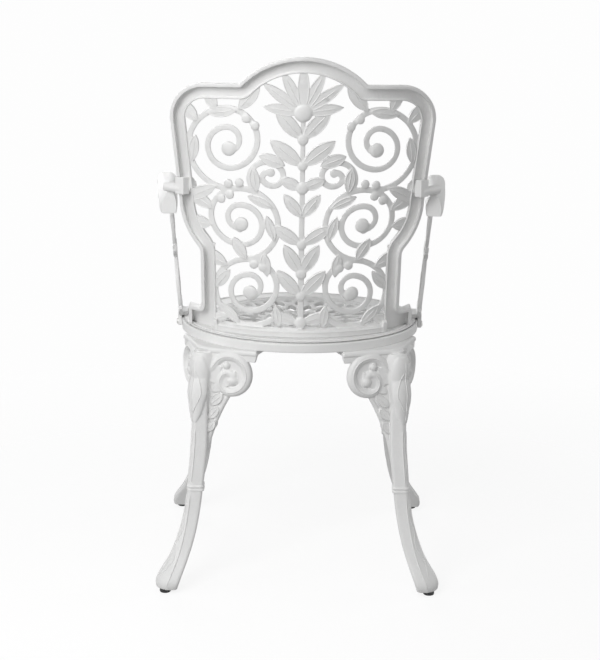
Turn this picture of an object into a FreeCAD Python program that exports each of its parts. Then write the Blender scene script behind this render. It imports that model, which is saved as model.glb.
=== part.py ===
import FreeCAD, Part
import math
import os

V = FreeCAD.Vector
UP = V(0, 0, 1)
ORIGIN = V(0, 0, 0)

# Driving dimensions, in millimetres and degrees.
# Everything is drawn about the upright axis of the round seat, floor at z = 0, front towards -Y.

# Seat
SEAT_HEIGHT = 442.0
RING_RADIUS = 212.0
RING_DEPTH = 19.0
RING_WALL = 9.0
RIM_TOP_WIDTH = 6.0
RIM_ROUNDING = 2.5
LEDGE_WIDTH = 51.5
LEDGE_THICKNESS = 6.0
DECK_THICKNESS = 8.0
DECK_GAP = 1.0
DECK_DISH = 9.0
DRAIN_RADIUS = 8.0
DECK_BEVEL = 0.8
DECK_LIP = 1.9
DECK_OVERHANG = 3.4
RIM_DROP = 3.4
ARM_BOSS_WIDTH = 48.0
ARM_BOSS_DEPTH = 30.0
BOSS_WALL = 4.6

# Rosette of the deck: copies, radius where each leaf starts, length and width;
# for the round ones, copies, radius where each sits and its own radius.
ROSETTE_PETALS = (10, 20.0, 38.0, 14.0)
ROSETTE_LEAVES = (20, 68.0, 44.0, 15.0)
ROSETTE_POINTS = (20, 141.0, 40.0, 17.0)
ROSETTE_DOTS = (20, 84.0, 4.5)
ROSETTE_EYES = (20, 134.0, 7.0)

# Back
BACK_HEIGHT = 478.0
BACK_AXIS_Y = -48.0
BACK_FOOT_RADIUS = 226.0
BACK_SPREAD = 0.239
ARCH_HALF_WIDTH = 103.0
ARCH_RISE = 44.5
SHOULDER_HALF_WIDTH = 220.0
SHOULDER_DROP = 46.0
SHOULDER_RADIUS = 61.0
SIDE_TAPER = 13.0
HIP_HEIGHT = 232.0
HIP_RADIUS = 120.0
WAIST_HALF_WIDTH = 171.0
WAIST_RADIUS = 20.0
SHOE_HALF_WIDTH = 196.0
SHOE_HEIGHT = 33.0
SHOE_HOLLOW = 7.0
SHOE_ROUNDING = 5.0
PANEL_THICKNESS = 7.0
RIM_DEPTH = 12.0
RIM_WIDTH = 6.0
RIM_FRONT = 1.6
BAND_WIDTH = 25.0
LIP_WIDTH = 2.2
LIP_HEIGHT = 1.4
RAIL_HEIGHT = 13.0
RAIL_HALF_WIDTH = 147.0
RAIL_STAND = 4.0
RAIL_STEP = 2.5
RAIL_POST_WIDTH = 7.0
RAIL_POST_RISE = 6.0
LEAF_RELIEF = 1.3

# Scrollwork of the back
STEM_WIDTH = 9.5
SCROLL_RADII = (60.0, 62.0, 68.0)
SCROLL_OUT = 86.0
SCROLL_LEAN = (83.0, 81.0)
CENTRE_STEM_WIDTH = 10.5
BERRY_RADIUS = 8.5
PALMETTE_DROP = 90.0
PALMETTE_WIDTH = 18.0
PALMETTE_BOSS = 15.0

# Arms
ARM_HEIGHT = 690.0
ARM_SUPPORT_Y = -12.0
ARM_SUPPORT_TILT = 5.0
ARM_SUPPORT_SPLAY = 4.3
ARM_SUPPORT_THICKNESS = 6.0
ARM_STEM_WIDTH = 9.0
ARM_SHELL = 5.0
ARM_PAD_HEIGHT = 697.0
ARM_PAD_ANGLE = 45.0
ARM_PAD_RADIUS = 13.0
ARM_PAD_STAND = 3.0
ARM_BLOCK_WIDTH = 20.0
ARM_BLOCK_HEIGHT = 29.0
ARM_BLOCK_DEPTH = 14.0
ARM_NECK_RADIUS = 8.0
ARM_NECK_LENGTH = 42.0
ARM_NECK_DROP = 6.0
ARM_TAB_THICKNESS = 7.0
ARM_TAB_HALF_WIDTH = 24.0
ARM_LUG_REACH = 10.0
ARM_LUG_HEIGHT = 7.0
ARM_SCREW_SPACING = 28.0
ARM_SCREW_DROP = 3.0

# Legs
LEG_LINE = 178.0
FOOT_SPREAD = 47.0
WING_OUT = -10.0
WING_SPLAY = 19.0
WING_LENGTH = 103.0
WING_WEB = 6.0
APRON_DEPTH = 20.0
LEG_SCROLL_RADIUS = 31.5
LEG_SCROLL_TUBE = 8.5
LEG_SCROLL_OUT = 53.0
LEG_SCROLL_DROP = 44.0
LEG_FLANGE = 8.0
LEG_FLANGE_INNER = 181.5
LEG_BOLT_RADIUS = 191.0
LEG_BOLT_ANGLE = 17.0
KNEE_ROUNDING = 22.0
KNEE_HEIGHT = 125.0
KNEE_RADIUS = 21.5
KNEE_OUT = -14.0
WING_BEAD = 4.5
WING_RELIEF = 3.2
COLLAR_HEIGHT = 175.0
COLLAR_SIZE = 3.0

# Feet
GLIDE_RADIUS = 9.5
GLIDE_HEIGHT = 8.0
GLIDE_STEM_RADIUS = 4.0
GLIDE_STEM_LENGTH = 22.0
GLIDE_OUT = 3.0

# Fasteners
BOLT_RADIUS = 4.0
BOLT_HEAD_ACROSS = 13.0
BOLT_HEAD_HEIGHT = 5.3
SCREW_RADIUS = 3.0
SCREW_HEAD_RADIUS = 5.5
SCREW_HEAD_HEIGHT = 3.3
WASHER_THICKNESS = 1.6
WASHER_RADIUS = 8.0
BOLT_CLEARANCE = 0.4
THREAD_CLEARANCE = 0.05
SEATING_GAP = 0.3
BACK_BOLT_ANGLES = (68, 82, 98, 112)
DECK_SCREW_ANGLES = (0, 90, 180, 225, 270, 315)
DECK_SCREW_INSET = 11.0
LEG_BOLT_REACH = 9.0
ARM_SCREW_LENGTH = 22.0
DECK_SCREW_REACH = 5.0
THREAD_END = 2.0

# Derived heights
RING_BOTTOM = SEAT_HEIGHT - RING_DEPTH
LEDGE_TOP = SEAT_HEIGHT - DECK_THICKNESS
LEDGE_BOTTOM = LEDGE_TOP - LEDGE_THICKNESS
LEDGE_INNER = RING_RADIUS - RIM_TOP_WIDTH - LEDGE_WIDTH
BOLT_HOLE = BOLT_RADIUS + BOLT_CLEARANCE
BOLT_THREAD = BOLT_RADIUS + THREAD_CLEARANCE
SCREW_HOLE = SCREW_RADIUS + BOLT_CLEARANCE
SCREW_THREAD = SCREW_RADIUS + THREAD_CLEARANCE


def aim(angle):
    return V(math.cos(math.radians(angle)), math.sin(math.radians(angle)), 0)


def closed(edges):
    return Part.Face(Part.Wire(edges))


def flat(edges):
    # A face of the drawing plane that always looks up.
    return Part.Face(Part.Plane(ORIGIN, UP), Part.Wire(edges))


def polygon(points):
    return flat(Part.makePolygon(points + [points[0]]).Edges)


def strip(low, high, bottom, top):
    return polygon([V(low, bottom, 0), V(high, bottom, 0), V(high, top, 0), V(low, top, 0)])


def disc(centre, radius):
    return flat([Part.makeCircle(radius, centre)])


def arc(first, through, last):
    return Part.Arc(first, through, last).toShape()


def bend_face(centre, radius, width, first, last):
    # A flat ring sector of even width.
    inner = radius - width / 2
    outer = radius + width / 2
    middle = (first + last) / 2
    outside = arc(centre + aim(first) * outer, centre + aim(middle) * outer, centre + aim(last) * outer)
    inside = arc(centre + aim(last) * inner, centre + aim(middle) * inner, centre + aim(first) * inner)
    end = Part.makeLine(centre + aim(last) * outer, centre + aim(last) * inner)
    start = Part.makeLine(centre + aim(first) * inner, centre + aim(first) * outer)
    return flat([outside, end, inside, start])


def follow(start, heading, bends):
    # Yields centre, radius, first angle and last angle of each tangent arc of a path.
    # A positive sweep turns left, a negative one right.
    point = start
    for radius, sweep in bends:
        turn = math.copysign(90, sweep)
        centre = point + aim(heading + turn) * radius
        first = heading - turn
        yield centre, radius, first, first + sweep
        heading += sweep
        point = centre + aim(first + sweep) * radius


def stem(start, heading, width, bends):
    faces = []
    for centre, radius, first, last in follow(start, heading, bends):
        faces.append(bend_face(centre, radius, width, first, last))
        end = centre + aim(last) * radius
    faces.append(disc(end, width * 0.72))
    return faces


def leaf(base, angle, length, width):
    tip = base + aim(angle) * length
    middle = base + aim(angle) * (length * 0.47)
    side = aim(angle + 90) * (width / 2)
    return flat([arc(base, middle + side, tip), arc(tip, middle - side, base)])


def merged(faces):
    # Joins overlapping drawings through thin slabs and returns the outline of the joined slab.
    slabs = [face.extrude(UP) for face in faces]
    whole = slabs[0].fuse(slabs[1:]).removeSplitter()
    tops = [face for face in whole.Faces if face.normalAt(0, 0).z > 0.9 and face.CenterOfMass.z > 0.5]
    return moved(Part.makeCompound(tops), -UP)


def mirrored(shape):
    return shape.mirror(ORIGIN, V(1, 0, 0))


def both_sides(faces):
    return faces + [flat([mirrored(edge) for edge in face.Edges]) for face in faces]


def turned(shape, angle):
    copy = shape.copy()
    copy.rotate(ORIGIN, UP, angle)
    return copy


def moved(shape, offset):
    copy = shape.copy()
    copy.translate(offset)
    return copy


def upright(shape):
    # Stands a drawing up from the XY plane into the XZ plane.
    copy = shape.copy()
    copy.rotate(ORIGIN, V(1, 0, 0), 90)
    return copy


def along(shape, base, direction):
    # Sends a shape drawn up the Z axis to a base point and direction.
    copy = shape.copy()
    copy.Placement = FreeCAD.Placement(base, FreeCAD.Rotation(UP, direction))
    return copy


def rod(radius, base, direction, length):
    return Part.makeCylinder(radius, length, base, direction)


def one_solid(shape):
    # The whole casting as a single clean solid.
    clean = shape.removeSplitter()
    if len(clean.Solids) != 1:
        raise RuntimeError("a casting fell into %d solids" % len(clean.Solids))
    return clean.Solids[0]


def hex_head(across, height):
    radius = across / 2 / math.cos(math.radians(30))
    return polygon([aim(60 * step) * radius for step in range(6)]).extrude(V(0, 0, -height))


def bolt(length):
    return hex_head(BOLT_HEAD_ACROSS, BOLT_HEAD_HEIGHT).fuse(
        rod(BOLT_RADIUS, V(0, 0, -1), UP, length + 1)).removeSplitter()


def screw(length):
    head = rod(SCREW_HEAD_RADIUS, V(0, 0, -SCREW_HEAD_HEIGHT), UP, SCREW_HEAD_HEIGHT)
    head = head.makeFillet(SCREW_HEAD_HEIGHT * 0.6, [head.Edges[2]])
    return head.fuse(rod(SCREW_RADIUS, V(0, 0, -1), UP, length + 1)).removeSplitter()


def washer():
    ring = rod(WASHER_RADIUS, ORIGIN, UP, WASHER_THICKNESS)
    return ring.cut(rod(BOLT_HOLE, V(0, 0, -1), UP, WASHER_THICKNESS + 2))


# Where the fasteners go

def leg_bolt_points():
    for leg in range(4):
        for side in (-1, 1):
            yield aim(45 + 90 * leg + side * LEG_BOLT_ANGLE) * LEG_BOLT_RADIUS


def back_bolt_points():
    radius = BACK_FOOT_RADIUS - (RIM_DEPTH + PANEL_THICKNESS) / 2
    for angle in BACK_BOLT_ANGLES:
        yield V(0, BACK_AXIS_Y, 0) + aim(angle) * radius


def deck_screw_points():
    for angle in DECK_SCREW_ANGLES:
        yield aim(angle) * (LEDGE_INNER + DECK_SCREW_INSET)


def arm_screw_points():
    # Places along Y, and heights, of the screws that hold an arm to the side of the seat ring.
    height = (RING_BOTTOM + SEAT_HEIGHT) / 2 - ARM_SCREW_DROP
    return [(ARM_SUPPORT_Y + side * ARM_SCREW_SPACING / 2, height) for side in (-1, 1)]


# Seat

def seat_ring():
    rim_inner = RING_RADIUS - RIM_TOP_WIDTH
    wall_inner = RING_RADIUS - RING_WALL
    rim_top = SEAT_HEIGHT - RIM_DROP
    corner = V(RING_RADIUS - RIM_ROUNDING, 0, rim_top - RIM_ROUNDING)
    shoulder = V(RING_RADIUS, 0, corner.z)
    crown = V(corner.x, 0, rim_top)
    bulge = corner + V(1, 0, 1) * (RIM_ROUNDING / math.sqrt(2))
    corners = [crown, V(rim_inner, 0, rim_top), V(rim_inner, 0, LEDGE_TOP), V(LEDGE_INNER, 0, LEDGE_TOP),
               V(LEDGE_INNER, 0, LEDGE_BOTTOM), V(wall_inner, 0, LEDGE_BOTTOM), V(wall_inner, 0, RING_BOTTOM),
               V(RING_RADIUS, 0, RING_BOTTOM), shoulder]
    edges = [Part.makeLine(a, b) for a, b in zip(corners, corners[1:])]
    edges.append(arc(shoulder, bulge, crown))
    ring = closed(edges).revolve(ORIGIN, UP, 360)
    bosses = []
    for point in leg_bolt_points():
        bosses.append(rod(BOLT_HOLE + BOSS_WALL, point + UP * RING_BOTTOM, UP, LEDGE_TOP - 1 - RING_BOTTOM))
    band = rod(RING_RADIUS - RING_WALL / 2, UP * RING_BOTTOM, UP, LEDGE_TOP - RING_BOTTOM - 1)
    for side in (-1, 1):
        middle = side * (RING_RADIUS - ARM_BOSS_DEPTH / 2 - 2)
        corner = V(middle - ARM_BOSS_DEPTH / 2, ARM_SUPPORT_Y - ARM_BOSS_WIDTH / 2, RING_BOTTOM)
        bosses.append(Part.makeBox(ARM_BOSS_DEPTH, ARM_BOSS_WIDTH, RING_DEPTH, corner).common(band))
    ring = ring.fuse(bosses)
    holes = []
    for point in leg_bolt_points():
        holes.append(rod(BOLT_THREAD, point + UP * (RING_BOTTOM - 1), UP, LEDGE_TOP - RING_BOTTOM))
    for point in back_bolt_points():
        holes.append(rod(BOLT_HOLE, point + UP * (LEDGE_BOTTOM - 1), UP, LEDGE_THICKNESS + 2))
    for point in deck_screw_points():
        holes.append(rod(SCREW_HOLE, point + UP * (RING_BOTTOM - 1), UP, RING_DEPTH))
    for y, z in arm_screw_points():
        for side in (-1, 1):
            end = V(side * (RING_RADIUS - ARM_SCREW_LENGTH), y, z)
            holes.append(rod(SCREW_THREAD, end, V(side, 0, 0), ARM_BOSS_DEPTH))
    return one_solid(ring.cut(holes))


def deck_windows():
    # A rosette: petals round a boss, a ring of pointed leaves, a ring of round eyes.
    windows = []
    for count, out, length, width, offset, inward in (
            ROSETTE_PETALS + (0.0, 0), ROSETTE_LEAVES + (0.5, 0), ROSETTE_POINTS + (0.0, 180)):
        for step in range(count):
            angle = (step + offset) * 360 / count
            windows.append(leaf(aim(angle) * out, angle + inward, length, width))
    for count, out, radius, offset in (ROSETTE_DOTS + (0.0,), ROSETTE_EYES + (0.5,)):
        for step in range(count):
            windows.append(disc(aim((step + offset) * 360 / count) * out, radius))
    return windows


def seat_deck():
    # A dished plate round a central drain hole, seated on the ledge of the ring.
    # Its flat rim ends in a thin lip that overhangs the ring and leaves a shadow gap.
    radius = RING_RADIUS - RIM_TOP_WIDTH - DECK_GAP
    lip = radius + DECK_OVERHANG
    lip_bottom = SEAT_HEIGHT - DECK_LIP
    flat_from = LEDGE_INNER + 1
    curve = (flat_from ** 2 + DECK_DISH ** 2) / (2 * DECK_DISH)

    def dish(out):
        return SEAT_HEIGHT - DECK_DISH + curve - math.sqrt(curve ** 2 - out ** 2)

    def on_dish(out, below):
        return V(out, 0, dish(out) - below)

    half = flat_from / 2
    under_from = flat_from - 4
    corners = [V(flat_from, 0, SEAT_HEIGHT), V(lip - DECK_BEVEL, 0, SEAT_HEIGHT),
               V(lip, 0, SEAT_HEIGHT - DECK_BEVEL), V(lip, 0, lip_bottom), V(radius, 0, lip_bottom),
               V(radius, 0, LEDGE_TOP), V(under_from, 0, LEDGE_TOP), on_dish(under_from, DECK_THICKNESS)]
    edges = [arc(on_dish(DRAIN_RADIUS, 0), on_dish(half, 0), corners[0])]
    edges += [Part.makeLine(first, last) for first, last in zip(corners, corners[1:])]
    edges.append(arc(corners[-1], on_dish(half, DECK_THICKNESS), on_dish(DRAIN_RADIUS, DECK_THICKNESS)))
    edges.append(Part.makeLine(on_dish(DRAIN_RADIUS, DECK_THICKNESS), on_dish(DRAIN_RADIUS, 0)))
    deck = closed(edges).revolve(ORIGIN, UP, 360)
    low = UP * RING_BOTTOM - UP * RING_DEPTH
    through = 3 * RING_DEPTH
    cuts = [moved(window, low).extrude(UP * through) for window in deck_windows()]
    for point in back_bolt_points():
        cuts.append(rod(BOLT_HOLE, point + low, UP, through))
    for point in deck_screw_points():
        cuts.append(rod(SCREW_THREAD, point + UP * (LEDGE_TOP - 1), UP, 1 + DECK_SCREW_REACH + 1))
    return one_solid(deck.cut(cuts))


# Back
# Its outline and scrollwork are drawn in elevation, measured up from the seat deck, then projected
# through a leaning conical shell, so the panel curves round the sitter and spreads towards the top.

def crest_radius(height):
    return BACK_FOOT_RADIUS + BACK_SPREAD * height


def shell(outward, inward):
    # The leaning shell between two offsets from the crest of the rim.
    axis = V(0, BACK_AXIS_Y, SEAT_HEIGHT)
    rise = BACK_HEIGHT + 10
    outer = Part.makeCone(crest_radius(0) + outward, crest_radius(rise) + outward, rise, axis)
    inner = Part.makeCone(crest_radius(0) + inward, crest_radius(rise) + inward, rise, axis)
    return outer.cut(inner)


def project(drawing, outward, inward):
    # Pushes a flat elevation drawing through the shell.
    standing = moved(upright(drawing), V(0, BACK_AXIS_Y, SEAT_HEIGHT))
    return standing.extrude(V(0, crest_radius(BACK_HEIGHT) + 60, 0)).common(shell(outward, inward))


def back_outline(with_shoe):
    # Half outline from the crown of the arch down to the foot, mirrored into a closed face.
    arch_radius = (ARCH_HALF_WIDTH ** 2 + ARCH_RISE ** 2) / (2 * ARCH_RISE)
    arch_centre = V(0, BACK_HEIGHT - arch_radius, 0)
    notch = V(ARCH_HALF_WIDTH, BACK_HEIGHT - ARCH_RISE, 0)
    halfway = math.degrees(math.asin(ARCH_HALF_WIDTH / arch_radius)) / 2
    arch = arc(V(0, BACK_HEIGHT, 0), arch_centre + aim(90 - halfway) * arch_radius, notch)
    shoulder_top = BACK_HEIGHT - SHOULDER_DROP
    bow = V(SHOULDER_HALF_WIDTH - SHOULDER_RADIUS, shoulder_top - SHOULDER_RADIUS, 0)
    shoulder = V(bow.x, shoulder_top, 0)
    widest = V(SHOULDER_HALF_WIDTH, bow.y, 0)
    hip = V(SHOULDER_HALF_WIDTH - SIDE_TAPER, HIP_HEIGHT, 0)
    # The hip turns in with one round, which touches the hollow that leads down into the straight waist.
    hip_centre = hip + V(-HIP_RADIUS, 0, 0)
    across = WAIST_HALF_WIDTH + WAIST_RADIUS - hip_centre.x
    fall = math.sqrt((HIP_RADIUS + WAIST_RADIUS) ** 2 - across ** 2)
    hollow_centre = hip_centre + V(across, -fall, 0)
    waist = hollow_centre + V(-WAIST_RADIUS, 0, 0)
    dip = math.degrees(math.atan2(fall, across))
    meet = hip_centre + aim(-dip) * HIP_RADIUS
    edges = [arch, Part.makeLine(notch, shoulder),
             arc(shoulder, bow + aim(45) * SHOULDER_RADIUS, widest),
             Part.makeLine(widest, hip),
             arc(hip, hip_centre + aim(-dip / 2) * HIP_RADIUS, meet),
             arc(meet, hollow_centre + aim(180 - dip / 2) * WAIST_RADIUS, waist)]
    bottom = -2 * RIM_WIDTH
    if with_shoe:
        rise = V(WAIST_HALF_WIDTH, SHOE_HEIGHT + SHOE_HOLLOW, 0)
        step = V(WAIST_HALF_WIDTH + SHOE_HOLLOW, SHOE_HEIGHT, 0)
        lip = V(SHOE_HALF_WIDTH - SHOE_ROUNDING, SHOE_HEIGHT, 0)
        side = V(SHOE_HALF_WIDTH, SHOE_HEIGHT - SHOE_ROUNDING, 0)
        foot = V(SHOE_HALF_WIDTH, bottom, 0)
        edges.append(Part.makeLine(waist, rise))
        edges.append(arc(rise, V(step.x, rise.y, 0) + aim(225) * SHOE_HOLLOW, step))
        edges.append(Part.makeLine(step, lip))
        edges.append(arc(lip, V(lip.x, side.y, 0) + aim(45) * SHOE_ROUNDING, side))
        edges.append(Part.makeLine(side, foot))
    else:
        foot = V(WAIST_HALF_WIDTH, bottom, 0)
        edges.append(Part.makeLine(waist, foot))
    edges.append(Part.makeLine(foot, V(-foot.x, bottom, 0)))
    edges += [mirrored(edge) for edge in edges[:-1]]
    return flat(Part.sortEdges(edges)[0])


def inset(face, distance):
    return flat(face.OuterWire.makeOffset2D(-distance).Edges)


def scroll_centres():
    # Three stacked circles touching each other, which the main stem winds between.
    lower = V(SCROLL_OUT, RAIL_HEIGHT + SCROLL_RADII[0] + 2, 0)
    middle = lower + aim(SCROLL_LEAN[0]) * (SCROLL_RADII[0] + SCROLL_RADII[1])
    upper = middle + aim(SCROLL_LEAN[1]) * (SCROLL_RADII[1] + SCROLL_RADII[2])
    return lower, middle, upper


def back_stems():
    # Right half of the vine.
    lower, middle, upper = scroll_centres()
    r_low, r_mid, r_up = SCROLL_RADII
    lean_low, lean_mid = SCROLL_LEAN
    faces = stem(lower + aim(-150) * r_low, -60, STEM_WIDTH,
                 [(r_low, lean_low + 150), (r_mid, lean_mid - lean_low - 180), (r_up, 180),
                  (r_up * 0.74, 180), (r_up * 0.51, 180), (r_up * 0.3, 170)])
    faces += stem(lower + aim(lean_low) * r_low, lean_low + 90, STEM_WIDTH,
                  [(r_low * 0.78, 180), (r_low * 0.55, 180), (r_low * 0.33, 170)])
    faces += stem(middle + aim(lean_mid) * r_mid, lean_mid - 90, STEM_WIDTH,
                  [(r_mid * 0.79, -180), (r_mid * 0.56, -180), (r_mid * 0.33, -170)])
    faces += stem(middle + aim(118) * r_mid, 28, STEM_WIDTH, [(29, 205), (18, 180), (10, 150)])
    return faces


# Leaves on the middle stem: height, angle, length and width.
STEM_LEAVES = ((24, 16, 54, 19), (72, 48, 62, 22), (112, 60, 60, 22), (164, 34, 58, 21),
               (212, 52, 50, 19), (262, 22, 40, 19), (300, 38, 68, 25), (344, 47, 66, 24))

# Leaves on the scrolls: share of the radius, place round the scroll, angle, length and width.
LOWER_LEAVES = ((1.0, -52, -18, 44, 18), (1.0, 50, 26, 52, 23), (1.0, -72, 46, 42, 16),
                (1.0, 2, 126, 44, 16), (0.8, 205, 262, 40, 15), (1.0, 84, 58, 44, 19))
MIDDLE_LEAVES = ((0.96, -42, -26, 48, 21), (0.82, -6, 2, 50, 23), (0.86, 26, 32, 58, 24),
                 (1.0, 205, 72, 46, 15), (1.0, 150, 24, 48, 15), (1.0, 232, 262, 42, 17))
UPPER_LEAVES = ((1.0, -24, 98, 48, 16), (1.0, 58, 172, 50, 17), (1.0, 40, 46, 44, 22),
                (1.0, 72, 64, 38, 20), (1.0, -72, -28, 62, 20), (1.0, 104, 130, 54, 22),
                (0.74, 190, 200, 46, 20), (0.72, 215, 262, 44, 16))

# Places round the three scrolls where a pair of berries sits in the fork.
BERRY_PLACES = ((106,), (60,), (262, 128))

# Beads on the middle stem: height and radius. Leaves of the palmette: turn from upright and length.
STEM_BEADS = ((24, 10), (72, 8), (112, 9), (164, 8), (262, 10), (300, 8), (344, 9))
PALMETTE_LEAVES = ((-82, 66), (-54, 82), (-27, 78), (0, 80), (27, 78), (54, 82), (82, 66))


def back_leaves():
    # Right half of the leaves and berries; each bridges from a stem to its neighbour or to the frame.
    faces = [leaf(V(0, height, 0), angle, length, width) for height, angle, length, width in STEM_LEAVES]
    rows = zip(scroll_centres(), SCROLL_RADII, (LOWER_LEAVES, MIDDLE_LEAVES, UPPER_LEAVES), BERRY_PLACES)
    for centre, radius, leaves, places in rows:
        for share, place, angle, length, width in leaves:
            faces.append(leaf(centre + aim(place) * (radius * share), angle, length, width))
        for place in places:
            for turn in (-9, 9):
                faces.append(disc(centre + aim(place + turn) * (radius - BERRY_RADIUS), BERRY_RADIUS * 0.85))
        faces.append(disc(centre, BERRY_RADIUS * 1.4))
    return faces


def palmette_root():
    return V(0, BACK_HEIGHT - PALMETTE_DROP, 0)


def centre_stem():
    half = CENTRE_STEM_WIDTH / 2
    top = palmette_root().y + PALMETTE_BOSS / 2
    return polygon([V(-half, 0, 0), V(half, 0, 0), V(half * 0.7, top, 0), V(-half * 0.7, top, 0)])


def palmette():
    # A fan of leaves under the arch, with beads down the middle of the back.
    root = palmette_root()
    faces = [disc(root, PALMETTE_BOSS)]
    for turn, length in PALMETTE_LEAVES:
        faces.append(leaf(root, 90 + turn, length, PALMETTE_WIDTH))
    for height, radius in STEM_BEADS:
        faces.append(disc(V(0, height, 0), radius))
    return faces


def arm_pad_axis(side):
    turn = math.radians(ARM_PAD_ANGLE)
    return V(side * math.sin(turn), math.cos(turn), 0)


def arm_pad_radius():
    # Distance of the arm seat's face from the axis of the back.
    return crest_radius(ARM_PAD_HEIGHT - SEAT_HEIGHT) - RIM_DEPTH + ARM_PAD_STAND


def arm_pad_front():
    return arm_pad_radius() - 2 * ARM_PAD_STAND - PANEL_THICKNESS


def arm_block(side, growth):
    # Block of the arm's end that sits on the pad of the back; growth gives the pocket round it.
    high = ARM_BLOCK_HEIGHT + 2 * growth
    wide = ARM_BLOCK_WIDTH + 2 * growth
    box = Part.makeBox(high, wide, ARM_BLOCK_DEPTH + 2 * growth, V(-high / 2, -wide / 2, 0))
    axis = arm_pad_axis(side)
    box.Placement = FreeCAD.Placement(V(0, 0, 0), FreeCAD.Rotation(UP, V(0, 0, 0), axis, "ZXY"))
    return moved(box, V(0, BACK_AXIS_Y, ARM_PAD_HEIGHT) + axis * arm_pad_radius())


def arm_neck(side, growth):
    # Round bar from the block out to the rail.
    axis = arm_pad_axis(side)
    middle = V(0, BACK_AXIS_Y, ARM_PAD_HEIGHT - ARM_NECK_DROP)
    middle += axis * (arm_pad_radius() + ARM_BLOCK_DEPTH / 2)
    return rod(ARM_NECK_RADIUS + growth, middle, V(side * axis.y, -abs(axis.x), 0), ARM_NECK_LENGTH)


def foot_rail(inward):
    # The stepped bar along the foot of the back, closed by a post at either end.
    bodies = []
    for step in (0, RAIL_STEP):
        bar = strip(-RAIL_HALF_WIDTH, RAIL_HALF_WIDTH, -1, RAIL_HEIGHT - RAIL_STEP + step)
        bodies.append(project(bar, RAIL_STAND - step, inward))
    for end in (-RAIL_HALF_WIDTH, RAIL_HALF_WIDTH):
        post = strip(end - RAIL_POST_WIDTH / 2, end + RAIL_POST_WIDTH / 2, -1, RAIL_HEIGHT + RAIL_POST_RISE)
        bodies.append(project(post, RAIL_STAND + RAIL_STEP / 2, inward))
    return bodies


def back_panel():
    outline = back_outline(True)
    plain = back_outline(False)
    above_rail = strip(-SHOULDER_HALF_WIDTH, SHOULDER_HALF_WIDTH, RAIL_HEIGHT, BACK_HEIGHT)
    window = inset(plain, BAND_WIDTH).common(above_rail).Faces[0]
    band = inset(outline, RIM_WIDTH / 2).cut(window)
    stems = merged([centre_stem()] + both_sides(back_stems()))
    leaves = merged(palmette() + both_sides(back_leaves()))
    limit = inset(outline, RIM_WIDTH / 2)
    rear = -RIM_DEPTH
    front = rear - PANEL_THICKNESS
    plate = project(merged(band.Faces + stems.common(limit).Faces), rear, front)
    inside = inset(plain, BAND_WIDTH - LIP_WIDTH / 2)
    relief = project(leaves.common(inside), rear + LEAF_RELIEF, front - LEAF_RELIEF)
    rim = project(outline.cut(inset(outline, RIM_WIDTH)), 0, front - RIM_FRONT)
    lip_face = inset(plain, BAND_WIDTH - LIP_WIDTH).cut(inset(plain, BAND_WIDTH - 0.4))
    lip = project(lip_face, rear + LIP_HEIGHT, front - LIP_HEIGHT)
    bodies = [relief, rim, lip] + foot_rail(front - RIM_FRONT - 0.6)
    cuts = []
    for side in (-1, 1):
        axis = arm_pad_axis(side)
        middle = V(0, BACK_AXIS_Y, ARM_PAD_HEIGHT)
        pad = arm_pad_radius() - arm_pad_front()
        bodies.append(rod(ARM_PAD_RADIUS, middle + axis * arm_pad_front(), axis, pad))
        cuts.append(arm_block(side, SEATING_GAP))
        cuts.append(arm_neck(side, 2 * SEATING_GAP))
        before = middle + axis * (arm_pad_front() - ARM_PAD_RADIUS)
        cuts.append(rod(BOLT_HOLE, before, axis, ARM_PAD_RADIUS + pad + ARM_BLOCK_DEPTH))
        cuts.append(rod(WASHER_RADIUS + 1, before, axis, ARM_PAD_RADIUS))
    for point in back_bolt_points():
        cuts.append(rod(BOLT_THREAD, point + UP * (SEAT_HEIGHT - 1), UP, 1 + RAIL_HEIGHT - THREAD_END))
    return one_solid(plate.fuse(bodies).cut(cuts))


# Arms, drawn for the +X side and mirrored

def arm_section(y, inner, outer, bottom, top, full):
    # A rail section, from a bell that falls away to the outside to a full and almost square crown.
    wide = outer - inner
    high = top - bottom
    crown = V(inner + wide * (0.36 + 0.14 * full), y, top)
    low_in = V(inner, y, bottom)
    low_out = V(outer, y, bottom)
    return Part.Wire([
        Part.makeLine(low_in, low_out),
        arc(low_out, V(inner + wide * (0.84 + 0.1 * full), y, bottom + high * (0.7 + 0.12 * full)), crown),
        arc(crown, V(inner + wide * (0.09 - 0.03 * full), y, bottom + high * (0.72 + 0.1 * full)), low_in)])


# Rail stations: y, inner and outer x, then bottom and top measured from the arm height, and fullness.
ARM_STATIONS = ((128, 214, 237, -45, -2, 0.0), (112, 214, 241, -45, 0, 0.0), (80, 216, 246, -37, 0, 0.1),
                (30, 220, 252, -28, -2, 0.3), (-40, 226, 258, -24, -3, 0.6), (-105, 231, 262, -26, -5, 1.0),
                (-145, 234, 262, -38, -13, 1.0), (-165, 236, 260, -50, -28, 1.0))


def arm_rail():
    sections = []
    for y, inner, outer, bottom, top, full in ARM_STATIONS:
        sections.append(arm_section(y, inner, outer, ARM_HEIGHT + bottom, ARM_HEIGHT + top, full))
    hollow = []
    for y, inner, outer, bottom, top, full in ARM_STATIONS[1:-1]:
        hollow.append(arm_section(y, inner + ARM_SHELL, outer - ARM_SHELL, ARM_HEIGHT + bottom - 1,
                                  ARM_HEIGHT + top - ARM_SHELL, full))
    return Part.makeLoft(sections, True).cut(Part.makeLoft(hollow, True))


def sideways(drawing, width):
    # Stands a drawing up in the YZ plane and thickens it evenly about that plane.
    plate = upright(drawing).extrude(V(0, width, 0))
    plate.translate(V(0, -width / 2, 0))
    plate.rotate(ORIGIN, UP, 90)
    return plate


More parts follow.
